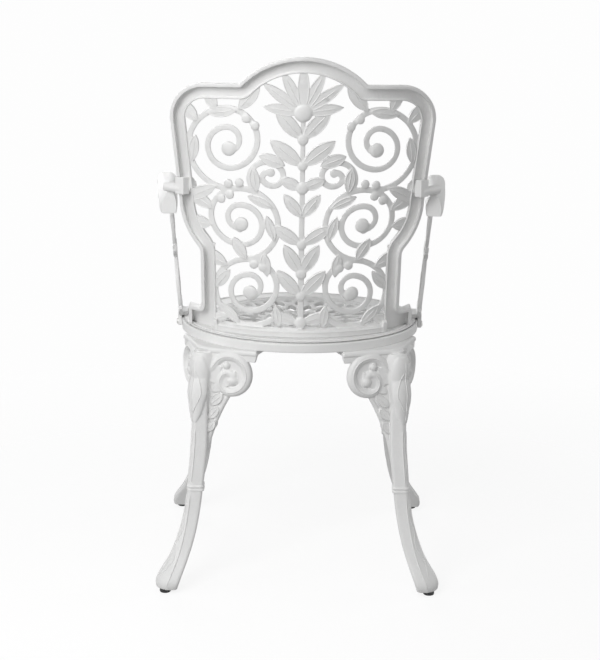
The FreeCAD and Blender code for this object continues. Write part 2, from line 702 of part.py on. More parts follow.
def arm_scroll():
    # The front of the rail rolls over and under itself.
    y, inner, outer, bottom, top, full = ARM_STATIONS[-1]
    start = V(y + 7, ARM_HEIGHT + (bottom + top) / 2 + 1, 0)
    roll = sideways(merged(stem(start, 212, 15, [(18, 190), (11, 170)])), outer - inner - 1)
    return moved(roll, V((inner + outer) / 2, 0, 0))


def arm_support():
    # Two crossing scrolls with leaves, standing between the seat ring and the rail.
    base = SEAT_HEIGHT + ARM_LUG_HEIGHT - 3
    rise = (ARM_HEIGHT - 8 - base) / math.cos(math.radians(ARM_SUPPORT_TILT))
    lower = rise * 0.25
    upper = rise * 0.262
    waist = 2 * lower * math.cos(math.radians(15)) - 4
    faces = both_sides(stem(V(12, -4, 0), 15, ARM_STEM_WIDTH, [(lower, 150), (upper, -150)]))
    for side in (-1, 1):
        faces.append(leaf(V(0, waist, 0), 90 - side * 80, 56, 20))
        faces.append(leaf(V(side * 6, 4, 0), 90 - side * 78, 52, 18))
        faces.append(leaf(V(0, waist * 0.3, 0), 90 - side * 50, 60, 17))
        faces.append(leaf(V(0, waist + rise * 0.16, 0), 90 - side * 38, 50, 15))
    faces.append(leaf(V(0, waist * 0.3, 0), 90, waist * 0.62, 20))
    faces.append(leaf(V(0, waist + rise * 0.16, 0), 90, rise * 0.26, 15))
    faces.append(polygon([V(-6, -4, 0), V(6, -4, 0), V(3, rise * 0.9, 0), V(-3, rise * 0.9, 0)]))
    plate = sideways(merged(faces), ARM_SUPPORT_THICKNESS)
    plate.rotate(ORIGIN, V(0, 1, 0), ARM_SUPPORT_TILT)
    plate.rotate(ORIGIN, UP, ARM_SUPPORT_SPLAY)
    return moved(plate, V(RING_RADIUS + ARM_TAB_THICKNESS / 2, ARM_SUPPORT_Y, base))


def arm_foot():
    # A tab outside the seat ring and a lug over its rim; the ring itself is cut away from the whole arm.
    top = SEAT_HEIGHT + ARM_LUG_HEIGHT
    low = RING_BOTTOM + 1
    reach = RING_RADIUS + ARM_TAB_THICKNESS + SEATING_GAP
    corner = V(0, ARM_SUPPORT_Y - ARM_TAB_HALF_WIDTH, low)
    block = Part.makeBox(reach, 2 * ARM_TAB_HALF_WIDTH, top - low, corner)
    outside = rod(reach, UP * low, UP, top - low)
    bore = rod(RING_RADIUS - ARM_LUG_REACH, UP * low, UP, top - low)
    return block.common(outside).cut(bore)


def arm():
    axis = arm_pad_axis(1)
    middle = V(0, BACK_AXIS_Y, ARM_PAD_HEIGHT) + axis * (arm_pad_radius() + ARM_BLOCK_DEPTH / 2)
    clamp = arm_neck(1, 0).fuse(arm_block(1, 0))
    whole = arm_rail().fuse([arm_scroll(), arm_support(), arm_foot(), clamp])
    cuts = [rod(RING_RADIUS + SEATING_GAP, UP * (RING_BOTTOM - 20), UP, RING_DEPTH + 20),
            rod(BOLT_THREAD, middle - axis * (ARM_BLOCK_DEPTH / 2 + 1), axis, ARM_BLOCK_DEPTH - 2)]
    for y, z in arm_screw_points():
        cuts.append(rod(SCREW_HOLE, V(RING_RADIUS - RING_WALL, y, z), V(1, 0, 0), 4 * ARM_TAB_THICKNESS))
        cuts.append(rod(SCREW_HEAD_RADIUS + 1, V(arm_screw_face(y), y, z), V(1, 0, 0), 2 * ARM_TAB_THICKNESS))
    return one_solid(whole.cut(cuts))


def arm_screw_face(y):
    # Flat spot for a screw head, cut into the curved outside of the tab.
    outer = RING_RADIUS + ARM_TAB_THICKNESS + SEATING_GAP
    reach = abs(y) + SCREW_HEAD_RADIUS + 1
    return math.sqrt(outer ** 2 - reach ** 2) - 0.5


# Legs, drawn for the +X +Y corner and turned by quarters

def leg_section(height, out, half, cut):
    # A rounded square whose outer corner is cut off by a slightly bulging diagonal face.
    corner = half * 0.34
    centre = V(LEG_LINE + out, LEG_LINE + out, height)
    diagonal = half - cut / 2 + cut * 0.1
    first = centre + V(half, half - cut, 0)
    last = centre + V(half - cut, half, 0)
    edges = [arc(first, centre + V(diagonal, diagonal, 0), last)]
    for quarter in range(1, 4):
        round_at = centre + aim(45 + 90 * quarter) * ((half - corner) * math.sqrt(2))
        begin = round_at + aim(90 * quarter) * corner
        end = round_at + aim(90 * quarter + 90) * corner
        edges.append(Part.makeLine(last, begin))
        edges.append(arc(begin, round_at + aim(45 + 90 * quarter) * corner, end))
        last = end
    edges.append(Part.makeLine(last, first))
    return Part.Wire(edges)


# Shaft stations: shares of the leg's height and of the foot's spread, half width,
# and the share of the half width that is cut off the corner.
LEG_STATIONS = ((1.0, -0.27, 12.5, 0.5), (0.87, -0.21, 14.0, 0.5), (0.72, -0.15, 14.0, 0.5),
                (0.58, -0.13, 14.0, 0.45), (0.42, 0.0, 13.6, 0.45), (0.285, 0.15, 13.6, 0.55),
                (0.19, 0.36, 15.2, 0.75), (0.107, 0.64, 17.4, 0.95), (0.052, 0.89, 20.4, 1.05),
                (0.0, 1.0, 18.0, 1.0))


def leg_shaft():
    top = RING_BOTTOM - LEG_FLANGE / 2
    sections = []
    for rise, spread, half, cut in LEG_STATIONS:
        height = GLIDE_HEIGHT + rise * (top - GLIDE_HEIGHT)
        sections.append(leg_section(height, spread * FOOT_SPREAD, half, cut * half))
    return Part.makeLoft(sections, True)


def leg_collars():
    # Two rings round the slender part of the shaft.
    rise, spread, shaft, cut = LEG_STATIONS[4]
    half = shaft + COLLAR_SIZE * 0.5
    collars = []
    for low in (COLLAR_HEIGHT - COLLAR_SIZE * 1.5, COLLAR_HEIGHT + COLLAR_SIZE * 0.5):
        ring = Part.Face(leg_section(low, 0, half, half * cut))
        collars.append(ring.extrude(UP * COLLAR_SIZE))
    return collars


# Side of the knee from its tip: shares of its radius, and of its height down from the top.
KNEE_PROFILE = ((0.0, 1.0), (0.36, 0.86), (0.8, 0.5), (1.0, 0.2), (0.86, 0.0))


def knee():
    # A smooth drop-shaped mass on the outer corner, full above and drawn out to a point below.
    top = RING_BOTTOM - LEG_FLANGE - 1
    profile = Part.BSplineCurve()
    profile.interpolate([V(KNEE_RADIUS * out, 0, top - KNEE_HEIGHT * down) for out, down in KNEE_PROFILE])
    side = profile.toShape()
    low = V(0, 0, top - KNEE_HEIGHT)
    high = V(0, 0, top)
    brow = V(KNEE_RADIUS * KNEE_PROFILE[-1][0], 0, top)
    edges = [side, Part.makeLine(brow, high), Part.makeLine(high, low)]
    return moved(closed(edges).revolve(ORIGIN, UP, 360), V(LEG_LINE + KNEE_OUT, LEG_LINE + KNEE_OUT, 0))


def tube(centre, radius, first, last, size):
    # A round bar bent along an arc of the drawing plane.
    section = closed([Part.makeCircle(size, centre + aim(first) * radius, aim(first + 90))])
    return section.revolve(centre, UP, last - first)


def wing_leaves(eye, low):
    # A spray of leaves inside the scroll, and scales that climb from the shaft towards it.
    root = eye + aim(-104) * (LEG_SCROLL_RADIUS - LEG_SCROLL_TUBE)
    leaves = [leaf(root, 90 + turn, length, 13) for turn, length in ((0, 40), (32, 36), (-30, 33), (62, 28))]
    for step in range(4):
        place = V(12 + 3 * step, low.y - 74 + 24 * step, 0)
        leaves.append(leaf(place, 56 - 6 * step, 26 + 3 * step, 13 + step))
    leaves.append(leaf(V(12, eye.y - 10, 0), 40, 36, 15))
    leaves.append(leaf(V(12, eye.y - 12, 0), 6, 32, 14))
    return leaves


def leg_wing():
    # Drawn flat: u runs out from the shaft, v is the height.
    top = RING_BOTTOM
    eye = V(LEG_SCROLL_OUT, top - LEG_SCROLL_DROP, 0)
    r = LEG_SCROLL_RADIUS
    entry = eye + aim(150) * r
    start = entry - V(math.sin(math.radians(60)) - math.sin(math.radians(20)),
                      math.cos(math.radians(20)) - math.cos(math.radians(60)), 0) * r
    low = V(LEG_SCROLL_OUT, eye.y - r, 0)
    toe = V(4, low.y - 128, 0)
    edge = arc(low, V(low.x * 0.58, low.y - 42, 0), toe)
    corners = [toe, V(0, toe.y, 0), V(0, top - APRON_DEPTH, 0), V(low.x, top - APRON_DEPTH, 0), low]
    web = closed([Part.makeLine(a, b) for a, b in zip(corners, corners[1:])] + [edge])
    apron = polygon([V(0, top - APRON_DEPTH, 0), V(WING_LENGTH - 5, top - APRON_DEPTH, 0),
                     V(WING_LENGTH, top - LEG_FLANGE / 2, 0), V(0, top - LEG_FLANGE / 2, 0)])
    holes = [leaf(eye + aim(-150) * (r - LEG_SCROLL_TUBE - 2), 58, 16, 7),
             leaf(eye + aim(-52) * (r - LEG_SCROLL_TUBE - 3), 112, 16, 6)]
    sheet = merged([apron, web, disc(eye, r)]).cut(holes)
    relief = merged(wing_leaves(eye, low)).cut(holes)
    plates = [sheet.extrude(UP * WING_WEB),
              moved(relief, UP * -WING_RELIEF).extrude(UP * (WING_WEB + 2 * WING_RELIEF))]
    level = UP * (WING_WEB / 2)
    bars = []
    path = [(r, 40), (r, -240), (r * 0.55, -150), (r * 0.3, -140)]
    for centre, radius, first, last in follow(start, 20, path):
        bars.append(tube(centre + level, radius, first, last, LEG_SCROLL_TUBE))
        end = centre + aim(last) * radius
    bars.append(Part.makeSphere(LEG_SCROLL_TUBE * 1.2, end + level))
    bend = edge.Curve.Center
    first = math.degrees(math.atan2(low.y - bend.y, low.x - bend.x))
    last = math.degrees(math.atan2(toe.y - bend.y, toe.x - bend.x)) % 360
    bars.append(tube(bend + level, edge.Curve.Radius, first % 360, last, WING_BEAD))
    wing = plates[0].fuse(plates[1:] + bars)
    wing = moved(wing, -level)
    wing = upright(wing)
    wing.rotate(ORIGIN, UP, 180 - WING_SPLAY)
    return moved(wing, V(LEG_LINE + WING_OUT, LEG_LINE + WING_OUT, 0))


def leg_flange():
    # Gusset under the seat ring between the two wings, rounded at the knee and along its shoulder.
    out = LEG_LINE + WING_OUT + 4
    corner = V(out, out, 0)
    reach = aim(180 - WING_SPLAY)
    begin = corner + reach * KNEE_ROUNDING
    end = corner + reach * WING_LENGTH
    bow = arc(V(begin.y, begin.x, 0), corner - aim(45) * (KNEE_ROUNDING * 0.25), begin)
    far = V(end.y, end.x, 0)
    edges = [Part.makeLine(ORIGIN, far), Part.makeLine(far, V(begin.y, begin.x, 0)), bow,
             Part.makeLine(begin, end), Part.makeLine(end, ORIGIN)]
    plate = moved(flat(edges), UP * (RING_BOTTOM - LEG_FLANGE)).extrude(UP * LEG_FLANGE)
    shoulder = []
    for edge in plate.Edges:
        box = edge.BoundBox
        if box.ZMin > RING_BOTTOM - 0.1 and box.XMin > 1:
            shoulder.append(edge)
    plate = plate.makeFillet(LEG_FLANGE * 0.6, shoulder)
    return plate.cut(rod(LEG_FLANGE_INNER, ORIGIN, UP, RING_BOTTOM + 10))


def leg():
    wing = leg_wing()
    other = wing.mirror(ORIGIN, V(1, -1, 0))
    whole = leg_shaft().fuse([wing, other, leg_flange(), knee()] + leg_collars())
    foot = LEG_LINE + FOOT_SPREAD + GLIDE_OUT
    bore = GLIDE_STEM_RADIUS + THREAD_CLEARANCE
    cuts = [rod(bore, V(foot, foot, 0), UP, GLIDE_HEIGHT + GLIDE_STEM_LENGTH + 1)]
    for side in (-1, 1):
        point = aim(45 + side * LEG_BOLT_ANGLE) * LEG_BOLT_RADIUS
        seat = point + UP * (RING_BOTTOM - LEG_FLANGE)
        cuts.append(rod(BOLT_HOLE, seat, UP, LEG_FLANGE))
        cuts.append(rod(WASHER_RADIUS + 1, seat - UP * APRON_DEPTH, UP, APRON_DEPTH))
    return one_solid(whole.cut(cuts))


def glide():
    place = LEG_LINE + FOOT_SPREAD + GLIDE_OUT
    foot = V(place, place, 0)
    puck = rod(GLIDE_RADIUS, foot, UP, GLIDE_HEIGHT)
    low = [edge for edge in puck.Edges if edge.BoundBox.ZMax < 0.01]
    puck = puck.makeFillet(2.0, low)
    stalk = rod(GLIDE_STEM_RADIUS, foot + UP * (GLIDE_HEIGHT - 1), UP, GLIDE_STEM_LENGTH + 1)
    return puck.fuse(stalk).removeSplitter()


# Assembly

def fasteners():
    seat = UP * (RING_BOTTOM - LEG_FLANGE - WASHER_THICKNESS)
    leg_bolt = bolt(WASHER_THICKNESS + LEG_FLANGE + LEG_BOLT_REACH)
    leg_bolts = [moved(leg_bolt, p + seat) for p in leg_bolt_points()]
    leg_washers = [moved(washer(), p + seat) for p in leg_bolt_points()]
    grip = LEDGE_THICKNESS + DECK_THICKNESS + WASHER_THICKNESS
    under = UP * (LEDGE_BOTTOM - WASHER_THICKNESS)
    back_bolts = [moved(bolt(grip + RAIL_HEIGHT - 2 * THREAD_END), p + under) for p in back_bolt_points()]
    back_washers = [moved(washer(), p + under) for p in back_bolt_points()]
    ledge = UP * LEDGE_BOTTOM
    deck_screws = [moved(screw(LEDGE_THICKNESS + DECK_SCREW_REACH), p + ledge) for p in deck_screw_points()]
    arm_bolts = []
    arm_washers = []
    arm_screws = []
    for side in (-1, 1):
        axis = arm_pad_axis(side)
        face = V(0, BACK_AXIS_Y, ARM_PAD_HEIGHT) + axis * arm_pad_front()
        length = WASHER_THICKNESS + arm_pad_radius() - arm_pad_front() + ARM_BLOCK_DEPTH - 2 * THREAD_END
        arm_bolts.append(along(bolt(length), face - axis * WASHER_THICKNESS, axis))
        arm_washers.append(along(washer(), face - axis * WASHER_THICKNESS, axis))
        for y, z in arm_screw_points():
            spot = V(side * arm_screw_face(y), y, z)
            arm_screws.append(along(screw(ARM_SCREW_LENGTH), spot, V(-side, 0, 0)))
    return {"leg_bolts": leg_bolts, "leg_washers": leg_washers,
            "back_bolts": back_bolts, "back_washers": back_washers, "deck_screws": deck_screws,
            "arm_back_bolts": arm_bolts, "arm_back_washers": arm_washers, "arm_seat_screws": arm_screws}


def build():
    nodes = {"seat_ring": seat_ring(), "seat_deck": seat_deck(), "back_panel": back_panel()}
    left = arm()
    nodes["arm_left"] = left
    nodes["arm_right"] = mirrored(left)
    corner = leg()
    foot = glide()
    for step, place in enumerate(("rear_left", "rear_right", "front_right", "front_left")):
        nodes["leg_" + place] = turned(corner, 90 * step)
        nodes["glide_" + place] = turned(foot, 90 * step)
    for name, pieces in fasteners().items():
        nodes[name] = Part.makeCompound(pieces)
    return nodes


def main():
    os.makedirs("parts", exist_ok=True)
    nodes = build()
    low = min(shape.BoundBox.YMin for name, shape in nodes.items() if name.startswith("leg_front"))
    high = nodes["back_panel"].BoundBox.YMax
    for name, shape in nodes.items():
        moved(shape, V(0, -(low + high) / 2, 0)).exportStep("parts/" + name + ".step")


main()
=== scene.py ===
import math

import bmesh
import bpy
import numpy as np
from bpy.props import FloatProperty, FloatVectorProperty, IntProperty, PointerProperty
from mathutils import Matrix, Vector
from mathutils.bvhtree import BVHTree


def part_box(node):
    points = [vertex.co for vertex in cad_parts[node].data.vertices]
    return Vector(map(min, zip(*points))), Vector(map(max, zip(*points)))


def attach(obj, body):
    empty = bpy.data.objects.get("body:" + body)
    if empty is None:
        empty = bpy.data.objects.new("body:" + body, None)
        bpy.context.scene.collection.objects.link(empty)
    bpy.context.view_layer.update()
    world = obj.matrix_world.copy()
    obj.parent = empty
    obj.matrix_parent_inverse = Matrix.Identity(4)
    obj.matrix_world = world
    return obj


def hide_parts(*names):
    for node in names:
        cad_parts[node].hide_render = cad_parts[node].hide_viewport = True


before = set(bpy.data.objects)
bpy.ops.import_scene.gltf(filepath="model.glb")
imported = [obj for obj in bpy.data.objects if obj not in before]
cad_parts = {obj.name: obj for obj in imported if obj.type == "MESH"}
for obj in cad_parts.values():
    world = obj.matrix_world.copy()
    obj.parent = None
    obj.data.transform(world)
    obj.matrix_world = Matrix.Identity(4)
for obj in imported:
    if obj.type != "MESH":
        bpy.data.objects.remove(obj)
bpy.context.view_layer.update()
RING_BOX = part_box("seat_ring")
SEAT_AXIS = (RING_BOX[0].y + RING_BOX[1].y) / 2

bl_info = {
    "name": "Cast openwork armchair",
    "version": (1, 0, 0),
    "blender": (4, 5, 0),
    "location": "View3D > Sidebar > Chair",
    "description": "Dresses a bolted cast armchair with soft cast edges, relief and a white powder coat",
    "category": "Object",
}

MM = 0.001
UP = np.array((0.0, 0.0, 1.0))
LEGS = ("rear_left", "rear_right", "front_right", "front_left")


class CastSettings(bpy.types.PropertyGroup):
    """How the castings are softened and what relief they carry."""

    grain: FloatProperty(
        name="Grain", description="Size of the cells that the castings are rebuilt from",
        default=0.001, min=0.0005, unit="LENGTH")
    faces: IntProperty(
        name="Faces", description="Triangles that a rebuilt casting is thinned to", default=130000, min=1000)
    smoothing: IntProperty(
        name="Smoothing", description="Passes of rounding over the cast edges", default=2, min=0)
    leg_smoothing: IntProperty(
        name="Leg smoothing", description="Further passes of rounding over the legs", default=6, min=0)
    seat_height: FloatProperty(
        name="Seat height", description="Floor to the top of the seat deck", default=0.442, unit="LENGTH")
    back_axis: FloatProperty(
        name="Back axis", description="Distance of the back's upright axis in front of the seat's",
        default=0.048, unit="LENGTH")
    back_radius: FloatProperty(
        name="Back radius", description="Radius of the back's rim at the seat", default=0.226, unit="LENGTH")
    back_spread: FloatProperty(
        name="Back spread", description="Growth of the back's radius with height", default=0.239)
    rim_depth: FloatProperty(
        name="Rim depth", description="How far the rim stands behind the panel", default=0.012, unit="LENGTH")
    panel: FloatProperty(
        name="Panel", description="Thickness of the openwork", default=0.007, unit="LENGTH")
    relief: FloatProperty(
        name="Relief", description="How far the leaves of the back stand out", default=0.0013, unit="LENGTH")
    line: FloatProperty(
        name="Line", description="Radius of the raised line round a leaf", default=0.0008, unit="LENGTH")
    lip: FloatProperty(
        name="Lip", description="Radius of the bead round the window of the back",
        default=0.0016, unit="LENGTH")
    cove: FloatProperty(
        name="Cove", description="Radius of the hollow between the rim and the band",
        default=0.007, unit="LENGTH")


class CoatSettings(bpy.types.PropertyGroup):
    """Colours and finish."""

    white: FloatVectorProperty(
        name="White", description="Powder coat", subtype="COLOR", size=3,
        default=(0.82, 0.82, 0.815), min=0, max=1)
    shade: FloatVectorProperty(
        name="Shade", description="Powder coat where it is thin or dusty", subtype="COLOR", size=3,
        default=(0.74, 0.74, 0.735), min=0, max=1)
    gloss: FloatProperty(
        name="Roughness", description="Mean roughness of the coat", default=0.44, min=0, max=1)
    peel: FloatProperty(
        name="Peel", description="Depth of the orange-peel texture", default=0.00024, unit="LENGTH")
    black: FloatVectorProperty(
        name="Black", description="Nylon of the glides", subtype="COLOR", size=3,
        default=(0.016, 0.016, 0.017), min=0, max=1)
    scuffed: FloatVectorProperty(
        name="Scuffed", description="Nylon where the floor has worn it", subtype="COLOR", size=3,
        default=(0.045, 0.045, 0.047), min=0, max=1)
    steel: FloatVectorProperty(
        name="Steel", description="Stainless fasteners", subtype="COLOR", size=3,
        default=(0.58, 0.58, 0.57), min=0, max=1)
    stained: FloatVectorProperty(
        name="Stained", description="Stainless fasteners where the weather has dulled them", subtype="COLOR",
        size=3, default=(0.46, 0.455, 0.44), min=0, max=1)


class StageSettings(bpy.types.PropertyGroup):
    """Camera and light."""

    lens: FloatProperty(name="Lens", description="Focal length in millimetres", default=89.65)
    distance: FloatProperty(
        name="Distance", description="Camera behind the seat's axis", default=2.9, unit="LENGTH")
    height: FloatProperty(
        name="Height", description="Camera above the floor", default=1.08135, unit="LENGTH")
    sideways: FloatProperty(
        name="Sideways", description="Camera off the middle", default=0.01686, unit="LENGTH")
    pitch: FloatProperty(name="Pitch", description="Downward tilt", default=0.22606, subtype="ANGLE")
    roll: FloatProperty(name="Roll", description="Turn about the view axis", default=-0.0126, subtype="ANGLE")
    turn: FloatProperty(name="Turn", description="Turn about the upright", default=-0.00314, subtype="ANGLE")
    key: FloatProperty(name="Key", description="Power of the window light", default=22.0)
    top: FloatProperty(name="Top", description="Power of the ceiling light", default=3.0)
    side: FloatProperty(name="Side", description="Power of the light from the left", default=9.0)
    right: FloatProperty(name="Right", description="Power of the light from the right", default=9.0)
    fore: FloatProperty(name="Fore", description="Power of the light before the chair", default=14.0)
    front: FloatProperty(
        name="Front", description="Strength of the room's light from the camera's side", default=0.36)
    fill: FloatProperty(name="Fill", description="Strength of the room's light from above", default=0.22)
    shade: FloatProperty(name="Shade", description="Strength of the room's light from below", default=0.05)
    lift: FloatProperty(
        name="Lift", description="How far the floor is lifted to white as seen", default=0.62)
    glow: FloatProperty(name="Glow", description="Brightness that the floor is lifted to", default=1.38)
    bounce: FloatProperty(
        name="Bounce", description="Share of the light that the floor throws back", default=0.45)
    white: FloatProperty(name="White", description="Brightness of the backdrop as seen", default=0.985)
    floor_reach: FloatProperty(
        name="Floor reach", description="Where the floor has faded into the backdrop",
        default=1.5, unit="LENGTH")


def casting():
    return bpy.context.scene.chair_cast


def coating():
    return bpy.context.scene.chair_coat


def staging():
    return bpy.context.scene.chair_stage


class Value:
    """A shader socket that takes ordinary arithmetic."""

    def __init__(self, tree, socket):
        self.tree = tree
        self.socket = socket

    @classmethod
    def node(cls, tree, kind, options=None, sockets=None, output=0):
        made = tree.nodes.new(kind)
        for key, value in (options or {}).items():
            setattr(made, key, value)
        for key, value in (sockets or {}).items():
            if isinstance(value, Value):
                tree.links.new(value.socket, made.inputs[key])
            else:
                made.inputs[key].default_value = value
        return cls(tree, made.outputs[output])

    def maths(self, operation, first, second, clamp=False):
        options = {"operation": operation, "use_clamp": clamp}
        return Value.node(self.tree, "ShaderNodeMath", options, {0: first, 1: second})

    def __add__(self, other):
        return self.maths("ADD", self, other)

    def __sub__(self, other):
        return self.maths("SUBTRACT", self, other)

    def __mul__(self, other):
        return self.maths("MULTIPLY", self, other)

    def __truediv__(self, other):
        return self.maths("DIVIDE", self, other)

    def __rsub__(self, other):
        return self.maths("SUBTRACT", other, self)

    def __rtruediv__(self, other):
        return self.maths("DIVIDE", other, self)

    __radd__ = __add__
    __rmul__ = __mul__

    def clamped(self):
        return self.maths("ADD", self, 0.0, clamp=True)

    def over(self, low, high):
        return ((self - low) / (high - low)).clamped()

    def mix(self, first, second):
        """From the first colour, where the value is nought, to the second, where it is one."""
        sockets = {0: self, 6: (*first, 1.0), 7: (*second, 1.0)}
        return Value.node(self.tree, "ShaderNodeMix", {"data_type": "RGBA"}, sockets, output=2)


def shader(name):
    made = bpy.data.materials.new(name)
    made.use_nodes = True
    tree = made.node_tree
    surface = tree.nodes["Principled BSDF"]
    place = Value.node(tree, "ShaderNodeTexCoord", output="Object")
    return made, tree, surface, place


def noise(tree, place, scale, detail):
    sockets = {"Vector": place, "Scale": scale, "Detail": detail}
    return Value.node(tree, "ShaderNodeTexNoise", None, sockets)


def feed(tree, surface, **values):
    for key, value in values.items():
        socket = surface.inputs[key.replace("_", " ")]
        if isinstance(value, Value):
            tree.links.new(value.socket, socket)
        else:
            socket.default_value = value


def bump(tree, height, distance):
    return Value.node(tree, "ShaderNodeBump", None, {"Height": height, "Distance": distance})


# Textures of the finishes: cells per metre and detail.
COAT_PEEL = (620.0, 1.5)
COAT_SAND = (170.0, 3.0)
COAT_CLOUD = (9.0, 3.0)
NYLON_GRAIN = (900.0, 3.0)
NYLON_SCUFF = (160.0, 4.0)
STEEL_BRUSH = (1400.0, 2.0)
STEEL_STAIN = (90.0, 3.0)
NYLON_DEPTH = 0.1 * MM
STEEL_DEPTH = 0.03 * MM


def coat_material():
    """White powder coat, shared by all the castings."""
    if "powder_coat" in bpy.data.materials:
        return bpy.data.materials["powder_coat"]
    coat = coating()
    made, tree, surface, place = shader("powder_coat")
    peel = noise(tree, place, *COAT_PEEL)
    sand = noise(tree, place, *COAT_SAND)
    cloud = noise(tree, place, *COAT_CLOUD)
    dust = cloud.over(0.42, 0.75) * 0.55 + sand.over(0.5, 0.8) * 0.25
    rough = coat.gloss - 0.05 + cloud * 0.06 + peel * 0.06
    feed(tree, surface, Base_Color=dust.mix(coat.white, coat.shade), Roughness=rough,
         Normal=bump(tree, peel * 0.6 + sand, coat.peel))
    return made


def glide_material():
    """Black nylon, greyer where it is scuffed."""
    coat = coating()
    made, tree, surface, place = shader("black_nylon")
    grain = noise(tree, place, *NYLON_GRAIN)
    scuff = noise(tree, place, *NYLON_SCUFF)
    feed(tree, surface, Base_Color=scuff.over(0.5, 0.8).mix(coat.black, coat.scuffed),
         Roughness=0.42 + scuff * 0.25, Normal=bump(tree, grain, NYLON_DEPTH))
    return made


def steel_material():
    """Stainless steel with a fine brush and dull stains."""
    coat = coating()
    made, tree, surface, place = shader("stainless")
    brush = noise(tree, place, *STEEL_BRUSH)
    stain = noise(tree, place, *STEEL_STAIN)
    feed(tree, surface, Base_Color=stain.over(0.45, 0.8).mix(coat.steel, coat.stained), Metallic=1.0,
         Roughness=0.26 + brush * 0.12 + stain * 0.08, Normal=bump(tree, brush, STEEL_DEPTH))
    return made


def object_from(mesh, name):
    made = bpy.data.objects.new(name, mesh)
    bpy.context.scene.collection.objects.link(made)
    return made


def mesh_from(vertices, faces, name="relief"):
    made = bpy.data.meshes.new(name)
    made.from_pydata([tuple(v) for v in vertices], [], [tuple(int(i) for i in f) for f in faces])
    made.update()
    return made


# Steps of rounding: shares of the way to the neighbours' mean, in and then out again.
ROUND_IN = 0.55
ROUND_OUT = -0.57
WELD = 1e-6


def relaxed(mesh, passes):
    """Rounds a dense mesh without shrinking it."""
    count = len(mesh.vertices)
    points = np.empty(count * 3, np.float32)
    mesh.vertices.foreach_get("co", points)
    points = points.reshape(-1, 3).astype(np.float64)
    edges = np.empty(len(mesh.edges) * 2, np.int32)
    mesh.edges.foreach_get("vertices", edges)
    first, second = edges.reshape(-1, 2).T
    links = np.maximum(np.bincount(edges, minlength=count), 1)[:, None]
    for share in (ROUND_IN, ROUND_OUT) * passes:
        total = [np.bincount(first, points[second, k], count) + np.bincount(second, points[first, k], count)
                 for k in range(3)]
        points += share * (np.stack(total, axis=1) / links - points)
    mesh.vertices.foreach_set("co", points.astype(np.float32).ravel())
    mesh.update()


def modified(mesh, kind, **options):
    """The mesh as one modifier leaves it."""
    blank = object_from(mesh, "blank")
    change = blank.modifiers.new("change", kind)
    for key, value in options.items():
        setattr(change, key, value)
    graph = bpy.context.evaluated_depsgraph_get()
    made = bpy.data.meshes.new_from_object(blank.evaluated_get(graph))
    bpy.data.objects.remove(blank)
    bpy.data.meshes.remove(mesh)
    return made


def joined(first, others):
    whole = bmesh.new()
    whole.from_mesh(first)
    bmesh.ops.remove_doubles(whole, verts=whole.verts, dist=WELD)
    for other in others:
        whole.from_mesh(other)
        bpy.data.meshes.remove(other)
    made = bpy.data.meshes.new("joined")
    whole.to_mesh(made)
    whole.free()
    return made


def cast(name, node, reliefs=(), lines=(), softer=0):
    """Rebuilds a CAD casting and its relief as one soft-edged skin, then lays fine raised lines on it."""
    form = casting()
    mesh = joined(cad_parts[node].data, reliefs)
    grain = form.grain * 1
    mesh = modified(mesh, "REMESH", mode="VOXEL", voxel_size=grain)
    relaxed(mesh, form.smoothing + softer)
    mesh.calc_loop_triangles()
    mesh = modified(mesh, "DECIMATE", ratio=min(1.0, form.faces / len(mesh.loop_triangles)))
    mesh = joined(mesh, lines)
    mesh.name = name
    mesh.materials.clear()
    mesh.materials.append(coat_material())
    mesh.polygons.foreach_set("use_smooth", np.ones(len(mesh.polygons), bool))
    return object_from(mesh, name)


def settle(piece, node):
    """Puts a casting's skin in the place of its CAD node."""
    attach(piece, "root")
    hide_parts(node)


def finished(node, paint):
    """Gives a CAD node that stays as it is its material."""
    node.data.materials.clear()
    node.data.materials.append(paint)


def aim(angle):
    return np.array((math.cos(math.radians(angle)), math.sin(math.radians(angle))))


def level_aim(angle):
    return np.array((*aim(angle), 0.0))


def arc_points(centre, radius, first, last, step=5.0):
    count = max(2, int(abs(last - first) / step) + 1)
    return [np.asarray(centre) + radius * aim(a) for a in np.linspace(first, last, count)]


def path_points(start, heading, bends):
    """Points of a path of tangent arcs; a positive sweep turns left."""
    point = np.asarray(start, float)
    points = [point]
    for radius, sweep in bends:
        turn = math.copysign(90, sweep)
        centre = point + radius * aim(heading + turn)
        points += arc_points(centre, radius, heading - turn, heading - turn + sweep)[1:]
        heading += sweep
        point = points[-1]
    return points


def resampled(points, step):
    """Points at even steps along a path."""
    points = np.asarray(points, float)
    lengths = np.concatenate(([0.0], np.cumsum(np.linalg.norm(np.diff(points, axis=0), axis=1))))
    places = np.linspace(0.0, lengths[-1], int(lengths[-1] / step) + 1)
    return np.stack([np.interp(places, lengths, points[:, k]) for k in range(points.shape[1])], axis=1)


def headings(points):
    """Unit steps along a path."""
    ahead = np.gradient(points, axis=0)
    return ahead / np.linalg.norm(ahead, axis=1)[:, None]


def curve(places, values):
    """A smooth function through the given values: the natural cubic spline."""
    x = np.asarray(places, float)
    y = np.asarray(values, float)
    gap = np.diff(x)
    slope = np.diff(y) / gap
    system = np.eye(len(x))
    right = np.zeros(len(x))
    for i in range(1, len(x) - 1):
        system[i, i - 1:i + 2] = gap[i - 1], 2 * (gap[i - 1] + gap[i]), gap[i]
        right[i] = 6 * (slope[i] - slope[i - 1])
    bend = np.linalg.solve(system, right)

    def at(place):
        i = int(np.clip(np.searchsorted(x, place) - 1, 0, len(x) - 2))
        after = place - x[i]
        before = x[i + 1] - place
        cubic = (bend[i] * before ** 3 + bend[i + 1] * after ** 3) / (6 * gap[i])
        return (cubic + (y[i] / gap[i] - bend[i] * gap[i] / 6) * before
                + (y[i + 1] / gap[i] - bend[i + 1] * gap[i] / 6) * after)

    return at


